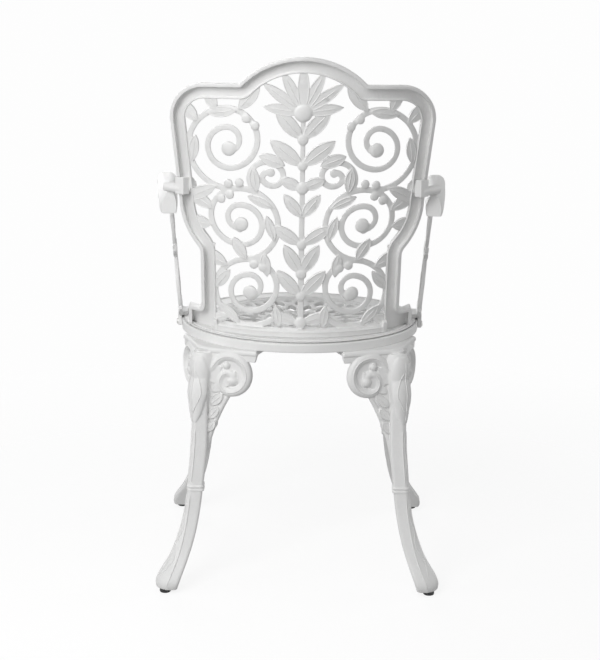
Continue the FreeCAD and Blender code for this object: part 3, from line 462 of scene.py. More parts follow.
def bands(rows, sides):
    """Faces between rows of points that each go round a bar."""
    faces = []
    for i in range(rows - 1):
        for k in range(sides):
            m = (k + 1) % sides
            low = i * sides
            faces.append((low + k, low + m, low + sides + m, low + sides + k))
    return faces


def closed_bar(rows, sides):
    """Faces of a bar that is capped at both ends."""
    last = (rows - 1) * sides
    caps = [tuple(range(sides - 1, -1, -1)), tuple(last + k for k in range(sides))]
    return bands(rows, sides) + caps


def turned_over(faces):
    return [face[::-1] for face in faces]


LINE_SIDES = 6
LINE_ROUND = [aim(360 * k / LINE_SIDES) for k in range(LINE_SIDES)]
LINE_TIP = 0.35
LINE_GROWTH = 0.4


def line(points, normals, radius):
    """A raised line along 3D points that fades out at both ends."""
    points = np.asarray(points, float)
    normals = np.asarray(normals, float)
    across = np.cross(normals, headings(points))
    across /= np.linalg.norm(across, axis=1)[:, None]
    places = np.arange(len(points))
    radii = radius * np.clip(LINE_TIP + LINE_GROWTH * np.minimum(places, places[::-1]), 0.0, 1.0)
    vertices = []
    for p, r, n, a in zip(points, radii, normals, across):
        vertices += [p + a * (r * side) + n * (r * high) for side, high in LINE_ROUND]
    return mesh_from(vertices, closed_bar(len(points), LINE_SIDES))


def hoop(centre, radius, size, steps=120):
    """A closed ring lying flat."""
    vertices = []
    for i in range(steps):
        out = level_aim(360 * i / steps)
        vertices += [centre + out * (radius + size * side) + UP * (size * high) for side, high in LINE_ROUND]
    faces = [tuple(i % len(vertices) for i in face) for face in bands(steps + 1, LINE_SIDES)]
    return mesh_from(vertices, turned_over(faces))


def dome(centre, normal, radius, height, rings=5, sides=20):
    """A closed button with an oval section."""
    side = np.cross(normal, UP)
    side /= np.linalg.norm(side)
    other = np.cross(normal, side)
    vertices = []
    rows = 2 * rings - 1
    for i in range(1, rows + 1):
        t = math.pi * i / (2 * rings)
        for k in range(sides):
            across, along = aim(360 * k / sides) * radius * math.sin(t)
            vertices.append(centre + side * across + other * along + normal * (height * math.cos(t)))
    vertices.append(centre + normal * height)
    vertices.append(centre - normal * height)
    faces = bands(rows, sides)
    for k in range(sides):
        m = (k + 1) % sides
        faces.append((rows * sides, m, k))
        faces.append((rows * sides + 1, (rows - 1) * sides + k, (rows - 1) * sides + m))
    return mesh_from(vertices, faces)


def in_frame(x, y, z):
    """A CAD point, in millimetres about the seat's axis, as a point of the scene."""
    return np.array((x * MM, SEAT_AXIS + y * MM, z * MM))


class Disc:
    """A round of a drawing."""

    def __init__(self, centre, radius):
        self.centre = np.asarray(centre, float)
        self.radius = radius

    def holds(self, point):
        return np.linalg.norm(point - self.centre) < self.radius


# Leaves of all drawings: share of the length at which a leaf has its width, stretches of its edges and
# midrib as shares of the length, and how far inside the edge the lines run.
LEAF_FULLEST = 0.47
LEAF_EDGE = (0.05, 0.97)
LEAF_RIB = (0.12, 0.8)
LEAF_LINE_INSET = 0.5
LEAF_LINE_STEP = 3.5
SHORTEST_RUN = 4


class Leaf:
    """A pointed leaf of a drawing: two arcs from base to tip."""

    def __init__(self, base, angle, length, width):
        self.base = np.asarray(base, float)
        self.ahead = aim(angle)
        self.side = aim(angle + 90)
        self.length = length
        self.sag = (width ** 2 / 4 - (LEAF_FULLEST - LEAF_FULLEST ** 2) * length ** 2) / width
        self.radius = math.hypot(length / 2, self.sag)

    def half(self, along):
        return self.sag + math.sqrt(self.radius ** 2 - (along - self.length / 2) ** 2)

    def holds(self, point):
        along, out = (point - self.base) @ self.ahead, (point - self.base) @ self.side
        return 0 < along < self.length and abs(out) < self.half(along)

    def lines(self):
        """Both edges, a little inside the true outline, and the midrib."""
        count = max(8, int(self.length / LEAF_LINE_STEP))
        for side, (first, last) in ((1, LEAF_EDGE), (-1, LEAF_EDGE), (0, LEAF_RIB)):
            places = np.linspace(first * self.length, last * self.length, count)
            outs = [side * (self.half(a) - LEAF_LINE_INSET) for a in places]
            yield [self.base + self.ahead * a + self.side * out for a, out in zip(places, outs)]


def leaf_lines(leaves, covers, limit=None):
    """Lines of the leaves, left out where a later leaf or a round lies over them."""
    for place, leaf in enumerate(leaves):
        above = leaves[place + 1:] + covers
        for points in leaf.lines():
            run = []
            for point in points:
                if (limit is None or limit(point)) and not any(other.holds(point) for other in above):
                    run.append(point)
                    continue
                if len(run) >= SHORTEST_RUN:
                    yield run
                run = []
            if len(run) >= SHORTEST_RUN:
                yield run


class Back:
    """Places elevation drawings, in millimetres up from the seat deck, on the leaning back."""

    def __init__(self):
        self.form = casting()
        self.axis = SEAT_AXIS - self.form.back_axis
        self.rear = -self.form.rim_depth
        self.front = self.rear - self.form.panel

    def point(self, x, h, offset):
        radius = self.form.back_radius + self.form.back_spread * h * MM + offset
        y = self.axis + math.sqrt(radius ** 2 - (x * MM) ** 2)
        return np.array((x * MM, y, self.form.seat_height + h * MM))

    def normal(self, x, h):
        radius = self.form.back_radius + self.form.back_spread * h * MM
        out = np.array((x * MM, math.sqrt(radius ** 2 - (x * MM) ** 2), -self.form.back_spread * radius))
        return out / np.linalg.norm(out)

    def line_at(self, points, offset, radius):
        return line([self.point(*p, offset) for p in points], [self.normal(*p) for p in points], radius)

    def faces(self, level):
        return self.rear + level, self.front - level

    def lines(self, points, level, radius):
        return [self.line_at(points, offset, radius) for offset in self.faces(level)]

    def buttons(self, disc, level, height):
        centres = [self.point(*disc.centre, offset) for offset in self.faces(level)]
        return [dome(centre, self.normal(*disc.centre), disc.radius * MM, height) for centre in centres]


# Outline of the back, as in the CAD model: millimetres about the middle and up from the seat deck.
BACK_HEIGHT = 478.0
ARCH_HALF_WIDTH = 103.0
ARCH_RISE = 44.5
SHOULDER_CENTRE = (159.0, 371.0)
SHOULDER_RADIUS = 61.0
HIP_CENTRE = (87.0, 232.0)
HIP_RADIUS = 120.0
WAIST_HALF_WIDTH = 171.0
WAIST_RADIUS = 20.0
EAR_TOP = 33.0
EAR_HOLLOW = 7.0
EAR_CORNER = 5.0
EAR_HALF_WIDTH = 196.0
EAR_FOOT = 1.0
BAND_WIDTH = 25.0
WINDOW_INSET = BAND_WIDTH - 1.0
RAIL_HEIGHT = 13.0
RAIL_HALF_WIDTH = 144.0
# Arrises of the rail: height, stand and size.
RAIL_ARRISES = ((10.0, 3.6, 1.1), (2.2, 3.7, 0.9))
# Hollow moulding inside the rim: where the rim's wall ends, how deep the moulding is sunk into wall and
# panel, how high it stands in the wall as a share of its radius, and its lowest point.
COVE_WALL = 5.0
COVE_SINK = 2.0
COVE_SHARE = 0.85
COVE_STAND = 0.1
COVE_FOOT = 0.4

# Foliage of the back, as in the CAD model: millimetres and degrees.
SCROLL_RADII = (60.0, 62.0, 68.0)
SCROLL_LEAN = (83.0, 81.0)
SCROLL_OUT = 86.0
SCROLL_GAP = 2.0
# Leaves of the stem: height, angle, length and width.
STEM_LEAVES = ((24, 16, 54, 19), (72, 48, 62, 22), (112, 60, 60, 22), (164, 34, 58, 21),
               (212, 52, 50, 19), (262, 22, 40, 19), (300, 38, 68, 25), (344, 47, 66, 24))
# Leaves of the scrolls: place as a share of the radius and an angle, then angle, length and width.
LOWER_LEAVES = ((1.0, -52, -18, 44, 18), (1.0, 50, 26, 52, 23), (1.0, -72, 46, 42, 16),
                (1.0, 2, 126, 44, 16), (0.8, 205, 262, 40, 15), (1.0, 84, 58, 44, 19))
MIDDLE_LEAVES = ((0.96, -42, -26, 48, 21), (0.82, -6, 2, 50, 23), (0.86, 26, 32, 58, 24),
                 (1.0, 205, 72, 46, 15), (1.0, 150, 24, 48, 15), (1.0, 232, 262, 42, 17))
UPPER_LEAVES = ((1.0, -24, 98, 48, 16), (1.0, 58, 172, 50, 17), (1.0, 40, 46, 44, 22),
                (1.0, 72, 64, 38, 20), (1.0, -72, -28, 62, 20), (1.0, 104, 130, 54, 22),
                (0.74, 190, 200, 46, 20), (0.72, 215, 262, 44, 16))
# Berries: their places round each scroll, in pairs, and one larger in its eye.
BERRY_PLACES = ((106,), (60,), (262, 128))
BERRY_RADIUS = 8.5
BERRY_TURN = 9
BERRY_PAIR_SHARE = 0.85
BERRY_EYE_SHARE = 1.4
# Beads of the stem: height and radius.
STEM_BEADS = ((24, 10), (72, 8), (112, 9), (164, 8), (262, 10), (300, 8), (344, 9), (388, 15))
# Palmette: turn from the upright and length of each leaf.
PALMETTE_LEAVES = ((82, 66), (54, 82), (27, 78), (0, 80))
PALMETTE_ROOT = (0.0, 388.0)
PALMETTE_WIDTH = 18
# Domes on berries and beads, as shares of the round's radius: width and rise.
DOME_SHARE = 0.94
BERRY_RISE = 0.22
BEAD_RISE = 0.25


def scroll_centres():
    lower = np.array((SCROLL_OUT, RAIL_HEIGHT + SCROLL_RADII[0] + SCROLL_GAP))
    middle = lower + aim(SCROLL_LEAN[0]) * (SCROLL_RADII[0] + SCROLL_RADII[1])
    upper = middle + aim(SCROLL_LEAN[1]) * (SCROLL_RADII[1] + SCROLL_RADII[2])
    return lower, middle, upper


def back_drawing():
    """Leaves of the right half, then the berries and beads that lie over them."""
    leaves = [Leaf((0.0, height), *rest) for height, *rest in STEM_LEAVES]
    berries = []
    rows = zip(scroll_centres(), SCROLL_RADII, (LOWER_LEAVES, MIDDLE_LEAVES, UPPER_LEAVES), BERRY_PLACES)
    for centre, radius, row, places in rows:
        leaves += [Leaf(centre + aim(place) * (radius * share), *rest) for share, place, *rest in row]
        for place in places:
            for turn in (-BERRY_TURN, BERRY_TURN):
                berry = centre + aim(place + turn) * (radius - BERRY_RADIUS)
                berries.append(Disc(berry, BERRY_RADIUS * BERRY_PAIR_SHARE))
        berries.append(Disc(centre, BERRY_RADIUS * BERRY_EYE_SHARE))
    leaves += [Leaf(PALMETTE_ROOT, 90 - turn, length, PALMETTE_WIDTH) for turn, length in PALMETTE_LEAVES]
    beads = [Disc((0.0, height), radius) for height, radius in STEM_BEADS]
    return leaves, berries, beads


def back_outline(inset=0.0):
    """Right half of the outline, or of a line inside it, from the crown of the arch down to the foot."""
    arch = (ARCH_HALF_WIDTH ** 2 + ARCH_RISE ** 2) / (2 * ARCH_RISE)
    half = math.degrees(math.asin(ARCH_HALF_WIDTH / arch))
    points = arc_points((0.0, BACK_HEIGHT - arch), arch - inset, 90, 90 - half, 3)
    if inset:
        points += arc_points((ARCH_HALF_WIDTH, BACK_HEIGHT - ARCH_RISE), inset, 270 - half, 270, 6)
    points += arc_points(SHOULDER_CENTRE, SHOULDER_RADIUS - inset, 90, 0, 6)
    across = WAIST_HALF_WIDTH + WAIST_RADIUS - HIP_CENTRE[0]
    fall = math.sqrt((HIP_RADIUS + WAIST_RADIUS) ** 2 - across ** 2)
    dip = math.degrees(math.atan2(fall, across))
    points += arc_points(HIP_CENTRE, HIP_RADIUS - inset, 0, -dip, 4)
    waist = (HIP_CENTRE[0] + across, HIP_CENTRE[1] - fall)
    points += arc_points(waist, WAIST_RADIUS + inset, 180 - dip, 180, 8)
    if inset:
        return points + [np.array((WAIST_HALF_WIDTH - inset, RAIL_HEIGHT))]
    points += arc_points((WAIST_HALF_WIDTH + EAR_HOLLOW, EAR_TOP + EAR_HOLLOW), EAR_HOLLOW, 180, 270, 15)
    points += arc_points((EAR_HALF_WIDTH - EAR_CORNER, EAR_TOP - EAR_CORNER), EAR_CORNER, 90, 0, 15)
    return points + [np.array((EAR_HALF_WIDTH, EAR_FOOT))]


def both_halves(right):
    right = np.asarray(right)
    return np.concatenate(((right * (-1, 1))[::-1], right[1:]))


def window():
    """Tells whether a point of the right half lies inside the frame of the back."""
    edge = np.array([(0.0, RAIL_HEIGHT)] + back_outline(WINDOW_INSET))

    def holds(point):
        x, y = point
        inside = False
        for (x0, y0), (x1, y1) in zip(edge, np.roll(edge, -1, axis=0)):
            if (y0 > y) != (y1 > y) and x < x0 + (y - y0) * (x1 - x0) / (y1 - y0):
                inside = not inside
        return inside and y > RAIL_HEIGHT + 1

    return holds


def cove_strip(back):
    """The hollow moulding that runs inside the rim, rear face."""
    edge = resampled(both_halves(back_outline()), 3.0)
    ahead = headings(edge)
    inward = np.stack((ahead[:, 1], -ahead[:, 0]), axis=1)
    cove = back.form.cove / MM
    profile = [(COVE_WALL - COVE_SINK, -COVE_SINK), (COVE_WALL - COVE_SINK, cove * COVE_SHARE)]
    for t in np.linspace(0, 90, 7):
        depth, height = cove * (1 - aim(t))
        profile.append((COVE_WALL + depth, height))
    profile.append((COVE_WALL + cove, -COVE_SINK))
    vertices = []
    for p, n in zip(edge, inward):
        for depth, height in profile:
            x, h = p + n * depth
            vertices.append(back.point(x, max(h, COVE_FOOT), back.rear + (height + COVE_STAND) * MM))
    return mesh_from(vertices, turned_over(closed_bar(len(edge), len(profile))))


def rail_lines(back):
    """Crisp arrises along the steps of the foot rail, rear face."""
    places = np.linspace(-RAIL_HALF_WIDTH, RAIL_HALF_WIDTH, 90)
    for height, stand, size in RAIL_ARRISES:
        yield back.line_at([(x, height) for x in places], stand * MM, size * MM)


class CHAIR_OT_back(bpy.types.Operator):
    """Back panel: softened casting with coved rim, beaded window, outlined leaves and low berries"""

    bl_idname = "chair.back"
    bl_label = "Back panel"

    def execute(self, context):
        back = Back()
        form = back.form
        reliefs = [cove_strip(back)]
        lines = []
        leaves, berries, beads = back_drawing()
        runs = list(leaf_lines(leaves, berries + beads, window()))
        for side in (1, -1):
            for run in runs:
                lines += back.lines([p * (side, 1) for p in run], form.relief, form.line)
            for disc in berries:
                berry = Disc(disc.centre * (side, 1), disc.radius * DOME_SHARE)
                reliefs += back.buttons(berry, form.relief, disc.radius * BERRY_RISE * MM)
        for disc in beads:
            bead = Disc(disc.centre, disc.radius * DOME_SHARE)
            reliefs += back.buttons(bead, form.relief, disc.radius * BEAD_RISE * MM)
        lines += back.lines(resampled(both_halves(back_outline(WINDOW_INSET)), 4.0), form.lip, form.lip)
        lines += rail_lines(back)
        settle(cast("back_panel_skin", "back_panel", reliefs, lines), "back_panel")
        return {"FINISHED"}


# Support of the arms, as in the CAD model: millimetres and degrees, about its foot.
SUPPORT_FOOT = (215.5, -12.0, 446.0)
SUPPORT_RISE = 237.0
SUPPORT_WAIST = 110.4
SUPPORT_TILT = math.radians(5.0)
SUPPORT_SPLAY = math.radians(4.3)
SUPPORT_HALF = 3.0
LOW_LEAVES = SUPPORT_WAIST * 0.3
HIGH_LEAVES = SUPPORT_WAIST + SUPPORT_RISE * 0.16
# Leaves in pairs: place along and up, turn from the upright, length and width.
SUPPORT_PAIRS = ((0.0, SUPPORT_WAIST, 80, 56, 20), (6.0, 4.0, 78, 52, 18),
                 (0.0, LOW_LEAVES, 50, 60, 17), (0.0, HIGH_LEAVES, 38, 50, 15))
# Upright leaves: place up, length and width.
SUPPORT_UPRIGHTS = ((LOW_LEAVES, SUPPORT_WAIST * 0.62, 20), (HIGH_LEAVES, SUPPORT_RISE * 0.26, 15))


def support_leaves():
    leaves = []
    for side in (-1, 1):
        for along, up, turn, length, width in SUPPORT_PAIRS:
            leaves.append(Leaf((side * along, up), 90 - side * turn, length, width))
    return leaves + [Leaf((0.0, up), 90, length, width) for up, length, width in SUPPORT_UPRIGHTS]


def support_point(side, along, up, out):
    """A point of the support's drawing, on the plate that leans outwards."""
    lean = out * math.cos(SUPPORT_TILT) + up * math.sin(SUPPORT_TILT)
    x = lean * math.cos(SUPPORT_SPLAY) - along * math.sin(SUPPORT_SPLAY)
    y = lean * math.sin(SUPPORT_SPLAY) + along * math.cos(SUPPORT_SPLAY)
    z = up * math.cos(SUPPORT_TILT) - out * math.sin(SUPPORT_TILT)
    return in_frame(side * (SUPPORT_FOOT[0] + x), SUPPORT_FOOT[1] + y, SUPPORT_FOOT[2] + z)


class CHAIR_OT_arms(bpy.types.Operator):
    """Arms: softened castings of rail, crossing scrolls and foot, with outlined leaves"""

    bl_idname = "chair.arms"
    bl_label = "Arms"

    def lines(self, side):
        made = []
        for run in leaf_lines(support_leaves(), []):
            for face in (-1, 1):
                points = [support_point(side, *p, face * SUPPORT_HALF) for p in run]
                normal = (support_point(side, 0, 0, face) - support_point(side, 0, 0, 0)) / MM
                made.append(line(points, [normal] * len(points), casting().line))
        return made

    def execute(self, context):
        for name, side in (("left", 1), ("right", -1)):
            settle(cast("arm_%s_skin" % name, "arm_" + name, [], self.lines(side)), "arm_" + name)
        return {"FINISHED"}


# Shaft of the leg, as in the CAD model: millimetres and degrees about the seat's axis.
LEG_LINE = 178.0
LEG_FOOT = 8.0
LEG_TOP = 419.0
FOOT_SPREAD = 47.0
# Stations: share of the height, share of the spread, half width and share of it that the corner is cut.
LEG_STATIONS = ((0.0, 1.0, 18.0, 1.0), (0.052, 0.89, 20.4, 1.05), (0.107, 0.64, 17.4, 0.95),
                (0.19, 0.36, 15.2, 0.75), (0.285, 0.15, 13.6, 0.55), (0.42, 0.0, 13.6, 0.45),
                (0.58, -0.13, 14.0, 0.45), (0.72, -0.15, 14.0, 0.5), (0.87, -0.21, 14.0, 0.5),
                (1.0, -0.27, 12.5, 0.5))
CORNER_CROWN = 0.1
# Lines on the corner face, as shares of the height: below the collar and above it, then the edges as shares
# of half the face's width, and the vine between them.
SHAFT_STRETCHES = ((0.02, 0.376), (0.436, 0.66))
SHAFT_EDGE = 0.98
SHAFT_EDGE_SIZE = 1.4
VINE_WAVES = 16
VINE_SWAY = 0.4

# Wing of the leg: out from the shaft, and height.
WING_CORNER = 168.0
WING_SPLAY = math.radians(161.0)
WING_HALF = 3.0
WING_RELIEF = 3.2
WING_EYE = np.array((53.0, 379.0))
WING_SCROLL = 31.5
WING_BAR = 8.5
WING_CREST = WING_BAR - 0.2
WING_CREST_SIZE = 1.7
# Scroll: heading at the shaft, then bends as shares of the scroll's radius and sweeps.
WING_HEADING = 20
WING_BENDS = ((1.0, 40), (1.0, -240), (0.55, -150), (0.3, -140))
# Fan inside the scroll: turn and length of each leaf.
FAN_LEAVES = ((0, 40), (32, 36), (-30, 33), (62, 28))
FAN_ROOT = -104
FAN_WIDTH = 13
# Leaves up the shaft, first and step: out, up from the scroll's foot, angle, length and width.
LADDER_FIRST = np.array((12, -74, 56, 26, 13))
LADDER_STEP = np.array((3, 24, -6, 3, 1))
LADDER_COUNT = 4
# Leaves beside the scroll: out, up from its eye, angle, length and width.
TOP_LEAVES = ((12, -10, 40, 36, 15), (12, -12, 6, 32, 14))
# Berry at the tip of the fan: place, stand, radius and height.
FAN_BERRY = (47.0, 394.0)
FAN_BERRY_STAND = WING_HALF + 1.5
FAN_BERRY_RADIUS = 6.5
FAN_BERRY_HEIGHT = 5.0


class Leg:
    """Places drawings on the leg of the +X +Y corner."""

    def __init__(self):
        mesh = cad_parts["leg_" + LEGS[0]].data
        corners = [v.co for v in mesh.vertices]
        self.surface = BVHTree.FromPolygons(corners, [p.vertices for p in mesh.polygons])
        shares, *columns = zip(*LEG_STATIONS)
        self.spread, self.half, self.cut = (curve(shares, column) for column in columns)

    def corner_face(self, share, across):
        """A point of the diagonal face; across is a share of half its width."""
        half = self.half(share)
        cut = self.cut(share) * half
        crown = cut * CORNER_CROWN * (1 - across ** 2)
        middle = LEG_LINE + self.spread(share) * FOOT_SPREAD + half - cut / 2 + crown
        side = across * cut / 2
        return in_frame(middle + side, middle - side, LEG_FOOT + share * (LEG_TOP - LEG_FOOT))

    def wing(self, other, u, v, w):
        """A point of a wing's drawing: out from the shaft, height, and across the web."""
        x = WING_CORNER + u * math.cos(WING_SPLAY) + w * math.sin(WING_SPLAY)
        y = WING_CORNER + u * math.sin(WING_SPLAY) - w * math.cos(WING_SPLAY)
        return in_frame(y, x, v) if other else in_frame(x, y, v)

    def wing_faces(self):
        """Both faces of both wings, with the way out of each."""
        for other in (False, True):
            for face in (-1, 1):
                yield other, face, (self.wing(other, 0, 0, face) - self.wing(other, 0, 0, 0)) / MM

    def lay(self, points, radius):
        """A raised line laid on the nearest skin of the casting."""
        found = [self.surface.find_nearest(Vector(p)) for p in points]
        return line([np.array(f[0]) for f in found], [np.array(f[1]) for f in found], radius)


def wing_leaves():
    root = WING_EYE + aim(FAN_ROOT) * (WING_SCROLL - WING_BAR)
    leaves = [Leaf(root, 90 + turn, length, FAN_WIDTH) for turn, length in FAN_LEAVES]
    rows = [(LADDER_FIRST + LADDER_STEP * step, WING_EYE[1] - WING_SCROLL) for step in range(LADDER_COUNT)]
    rows += [(row, WING_EYE[1]) for row in TOP_LEAVES]
    return leaves + [Leaf((out, level + up), *rest) for (out, up, *rest), level in rows]


def wing_spiral():
    """Middle line of the wing's scroll: one bend up from the shaft, then round the eye and inwards."""
    heading = WING_HEADING + WING_BENDS[0][1]
    entry = WING_EYE + aim(heading + 90) * WING_SCROLL
    start = entry - (aim(heading - 90) - aim(WING_HEADING - 90)) * WING_SCROLL
    return path_points(start, WING_HEADING, [(share * WING_SCROLL, sweep) for share, sweep in WING_BENDS])


# Leaf on the knee: its upright axis, its top and height, and its half width in degrees round the axis.
KNEE_AXIS = 164.0
KNEE_TOP = 414.0
KNEE_HEIGHT = 125.0
KNEE_SWEEP = 74.0
# Lobes of its edge, then what it stands out at the edge and at the crown, and how deep it is rooted.
KNEE_LOBES = 3.5
KNEE_LOBE_DEPTH = 0.07
KNEE_EDGE = 0.7
KNEE_CROWN = 3.0
KNEE_ROOT = 3.0
KNEE_VEIN_SIZE = 1.3
KNEE_VEIN_STAND = 0.1


class KneeLeaf:
    """The smooth leaf that hangs over the knee, laid on the casting by rays from the knee's axis."""

    downs = np.linspace(0.03, 0.97, 44)
    shares = np.linspace(-1.0, 1.0, 17)

    def __init__(self, leg):
        self.surface = leg.surface
        self.fullest = [max(self.reach(turn, down)[1] for turn in range(-60, 61, 12)) for down in self.downs]

    def reach(self, turn, down):
        """A point of the axis, and the millimetres from it to the skin."""
        start = in_frame(KNEE_AXIS, KNEE_AXIS, KNEE_TOP - KNEE_HEIGHT * down)
        found = self.surface.ray_cast(Vector(start), Vector(level_aim(45 + turn)))[0]
        return start, np.linalg.norm(np.array(found) - start) / MM

    def point(self, share, down, stand):
        """A point of the leaf, or under the skin for a negative stand, and the way out from the axis."""
        fall = math.sin(math.pi * down ** 0.65)
        lobe = 1.0 - KNEE_LOBE_DEPTH * abs(math.sin(KNEE_LOBES * math.pi * down))
        turn = share * KNEE_SWEEP * fall ** 0.6 * lobe
        start, skin = self.reach(turn, down)
        out = level_aim(45 + turn)
        if stand >= 0:
            swell = np.interp(down, self.downs, self.fullest) - skin + KNEE_CROWN * fall
            stand += KNEE_EDGE + math.sqrt(1.0 - share ** 2) * swell
        return start + out * ((skin + stand) * MM), out

    def relief(self):
        vertices = []
        for down in self.downs:
            vertices += [self.point(share, down, 0.0)[0] for share in self.shares]
            vertices += [self.point(share, down, -KNEE_ROOT)[0] for share in self.shares[::-1]]
        return mesh_from(vertices, turned_over(closed_bar(len(self.downs), 2 * len(self.shares))))

    def veins(self, size):
        """The midrib and a long vein on either side."""
        runs = [[(0.0, down) for down in np.linspace(0.1, 0.95, 26)]]
        for side in (-0.55, 0.55):
            stretch = np.linspace(0.06, 0.94, 22)
            runs.append([(side * math.sin(math.pi * s), 0.2 + 0.68 * s) for s in stretch])
        for run in runs:
            points, normals = zip(*(self.point(share, down, KNEE_VEIN_STAND) for share, down in run))
            yield line(points, normals, size * KNEE_VEIN_SIZE)


class CHAIR_OT_legs(bpy.types.Operator):
    """Legs: one softened cabriole casting with veined knee and leafy wings, turned to the four corners"""

    bl_idname = "chair.legs"
    bl_label = "Legs"

    def wing_lines(self, leg, size):
        """Outlined leaves round each scroll, and the crest of its bar."""
        runs = list(leaf_lines(wing_leaves(), [Disc(WING_EYE, WING_SCROLL + WING_BAR)]))
        spiral = resampled(wing_spiral(), 4.0)[3:-4]
        for other, face, normal in leg.wing_faces():
            level = face * (WING_HALF + WING_RELIEF)
            for run in runs:
                yield line([leg.wing(other, *p, level) for p in run], [normal] * len(run), size)
            crest = [leg.wing(other, *p, face * WING_CREST) for p in spiral]
            yield line(crest, [normal] * len(crest), size * WING_CREST_SIZE)

    def wing_berries(self, leg):
        """A berry at the tip of the fan inside each scroll."""
        for other, face, normal in leg.wing_faces():
            centre = leg.wing(other, *FAN_BERRY, face * FAN_BERRY_STAND)
            yield dome(centre, normal, FAN_BERRY_RADIUS * MM, FAN_BERRY_HEIGHT * MM)

    def shaft_lines(self, leg, size):
        """Edges of the corner face with a vine between them, below the collar and above it."""
        for first, last in SHAFT_STRETCHES:
            shares = np.linspace(first, last, 40)
            for across in (-SHAFT_EDGE, SHAFT_EDGE):
                yield leg.lay([leg.corner_face(s, across) for s in shares], size * SHAFT_EDGE_SIZE)
            turns = VINE_WAVES * math.pi * (shares[3:-3] - first)
            vine = zip(shares[3:-3], VINE_SWAY * np.sin(turns))
            yield leg.lay([leg.corner_face(s, across) for s, across in vine], size)

    def execute(self, context):
        leg = Leg()
        knee = KneeLeaf(leg)
        size = casting().line
        reliefs = [knee.relief(), *self.wing_berries(leg)]
        lines = [*self.wing_lines(leg, size), *self.shaft_lines(leg, size), *knee.veins(size)]
        first = cast("leg_%s_skin" % LEGS[0], "leg_" + LEGS[0], reliefs, lines, casting().leg_smoothing)
        axis = Vector((0.0, SEAT_AXIS, 0.0))
        for quarter, place in enumerate(LEGS):
            piece = object_from(first.data, "leg_%s_skin" % place) if quarter else first
            turn = Matrix.Rotation(math.radians(90 * quarter), 4, "Z")
            piece.matrix_world = Matrix.Translation(axis) @ turn @ Matrix.Translation(-axis)
            settle(piece, "leg_" + place)
        return {"FINISHED"}


# Deck of the seat, as in the CAD model: depth of the dish, where it ends, and hoops as radius and size.
DECK_DISH = 9.0
DECK_FLAT_FROM = 155.5
DECK_HOOPS = ((14.0, 1.2), (62.5, 1.2), (65.0, 0.9), (147.0, 1.2), (159.0, 1.4), (200.0, 1.4))


class CHAIR_OT_seat(bpy.types.Operator):
    """Seat: ring and pierced deck with softened edges and raised hoops"""

    bl_idname = "chair.seat"
    bl_label = "Seat"

    def height(self, out):
        """Top of the dished deck at a distance from the middle."""
        radius = (DECK_FLAT_FROM ** 2 + DECK_DISH ** 2) / (2 * DECK_DISH)
        rise = radius - math.sqrt(radius ** 2 - min(out, DECK_FLAT_FROM) ** 2)
        return casting().seat_height / MM - DECK_DISH + rise

    def execute(self, context):
        hoops = [hoop(in_frame(0, 0, self.height(out)), out * MM, size * MM) for out, size in DECK_HOOPS]
        settle(cast("seat_deck_skin", "seat_deck", [], hoops), "seat_deck")
        settle(cast("seat_ring_skin", "seat_ring"), "seat_ring")
        return {"FINISHED"}


class CHAIR_OT_glides(bpy.types.Operator):
    """Glides: black nylon on the feet"""

    bl_idname = "chair.glides"
    bl_label = "Glides"

    def execute(self, context):
        nylon = glide_material()
        for place in LEGS:
            finished(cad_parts["glide_" + place], nylon)
        return {"FINISHED"}


class CHAIR_OT_fasteners(bpy.types.Operator):
    """Fasteners: stainless bolts, washers and screws"""

    bl_idname = "chair.fasteners"
    bl_label = "Fasteners"

    def execute(self, context):
        steel = steel_material()
        for name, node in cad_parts.items():
            if name.endswith(("_bolts", "_washers", "_screws")):
                finished(node, steel)
        return {"FINISHED"}


SENSOR_WIDTH = 36.0
VIEW_END = 60.0
FLOOR_HALF = 4.0
FLOOR_ROUGHNESS = 0.95
# Where the floor begins to fade, as a share of its reach.
FLOOR_FADE_FROM = 0.4
# Slopes of the view between which the room's light grows from that from below to that from above.
ROOM_SLOPES = (-0.5, 0.7)
# Lamps: the setting that holds the power, side in metres and place.
LAMPS = (("key", 1.0, (0.9, 1.7, 1.5)), ("top", 1.6, (0.3, 0.3, 2.7)), ("side", 1.2, (2.4, 0.8, 1.0)),
         ("fore", 1.4, (0.7, -2.2, 1.0)), ("right", 1.4, (-2.4, -0.6, 1.0)))
LAMP_AIM = Vector((0.0, 0.2, 0.6))


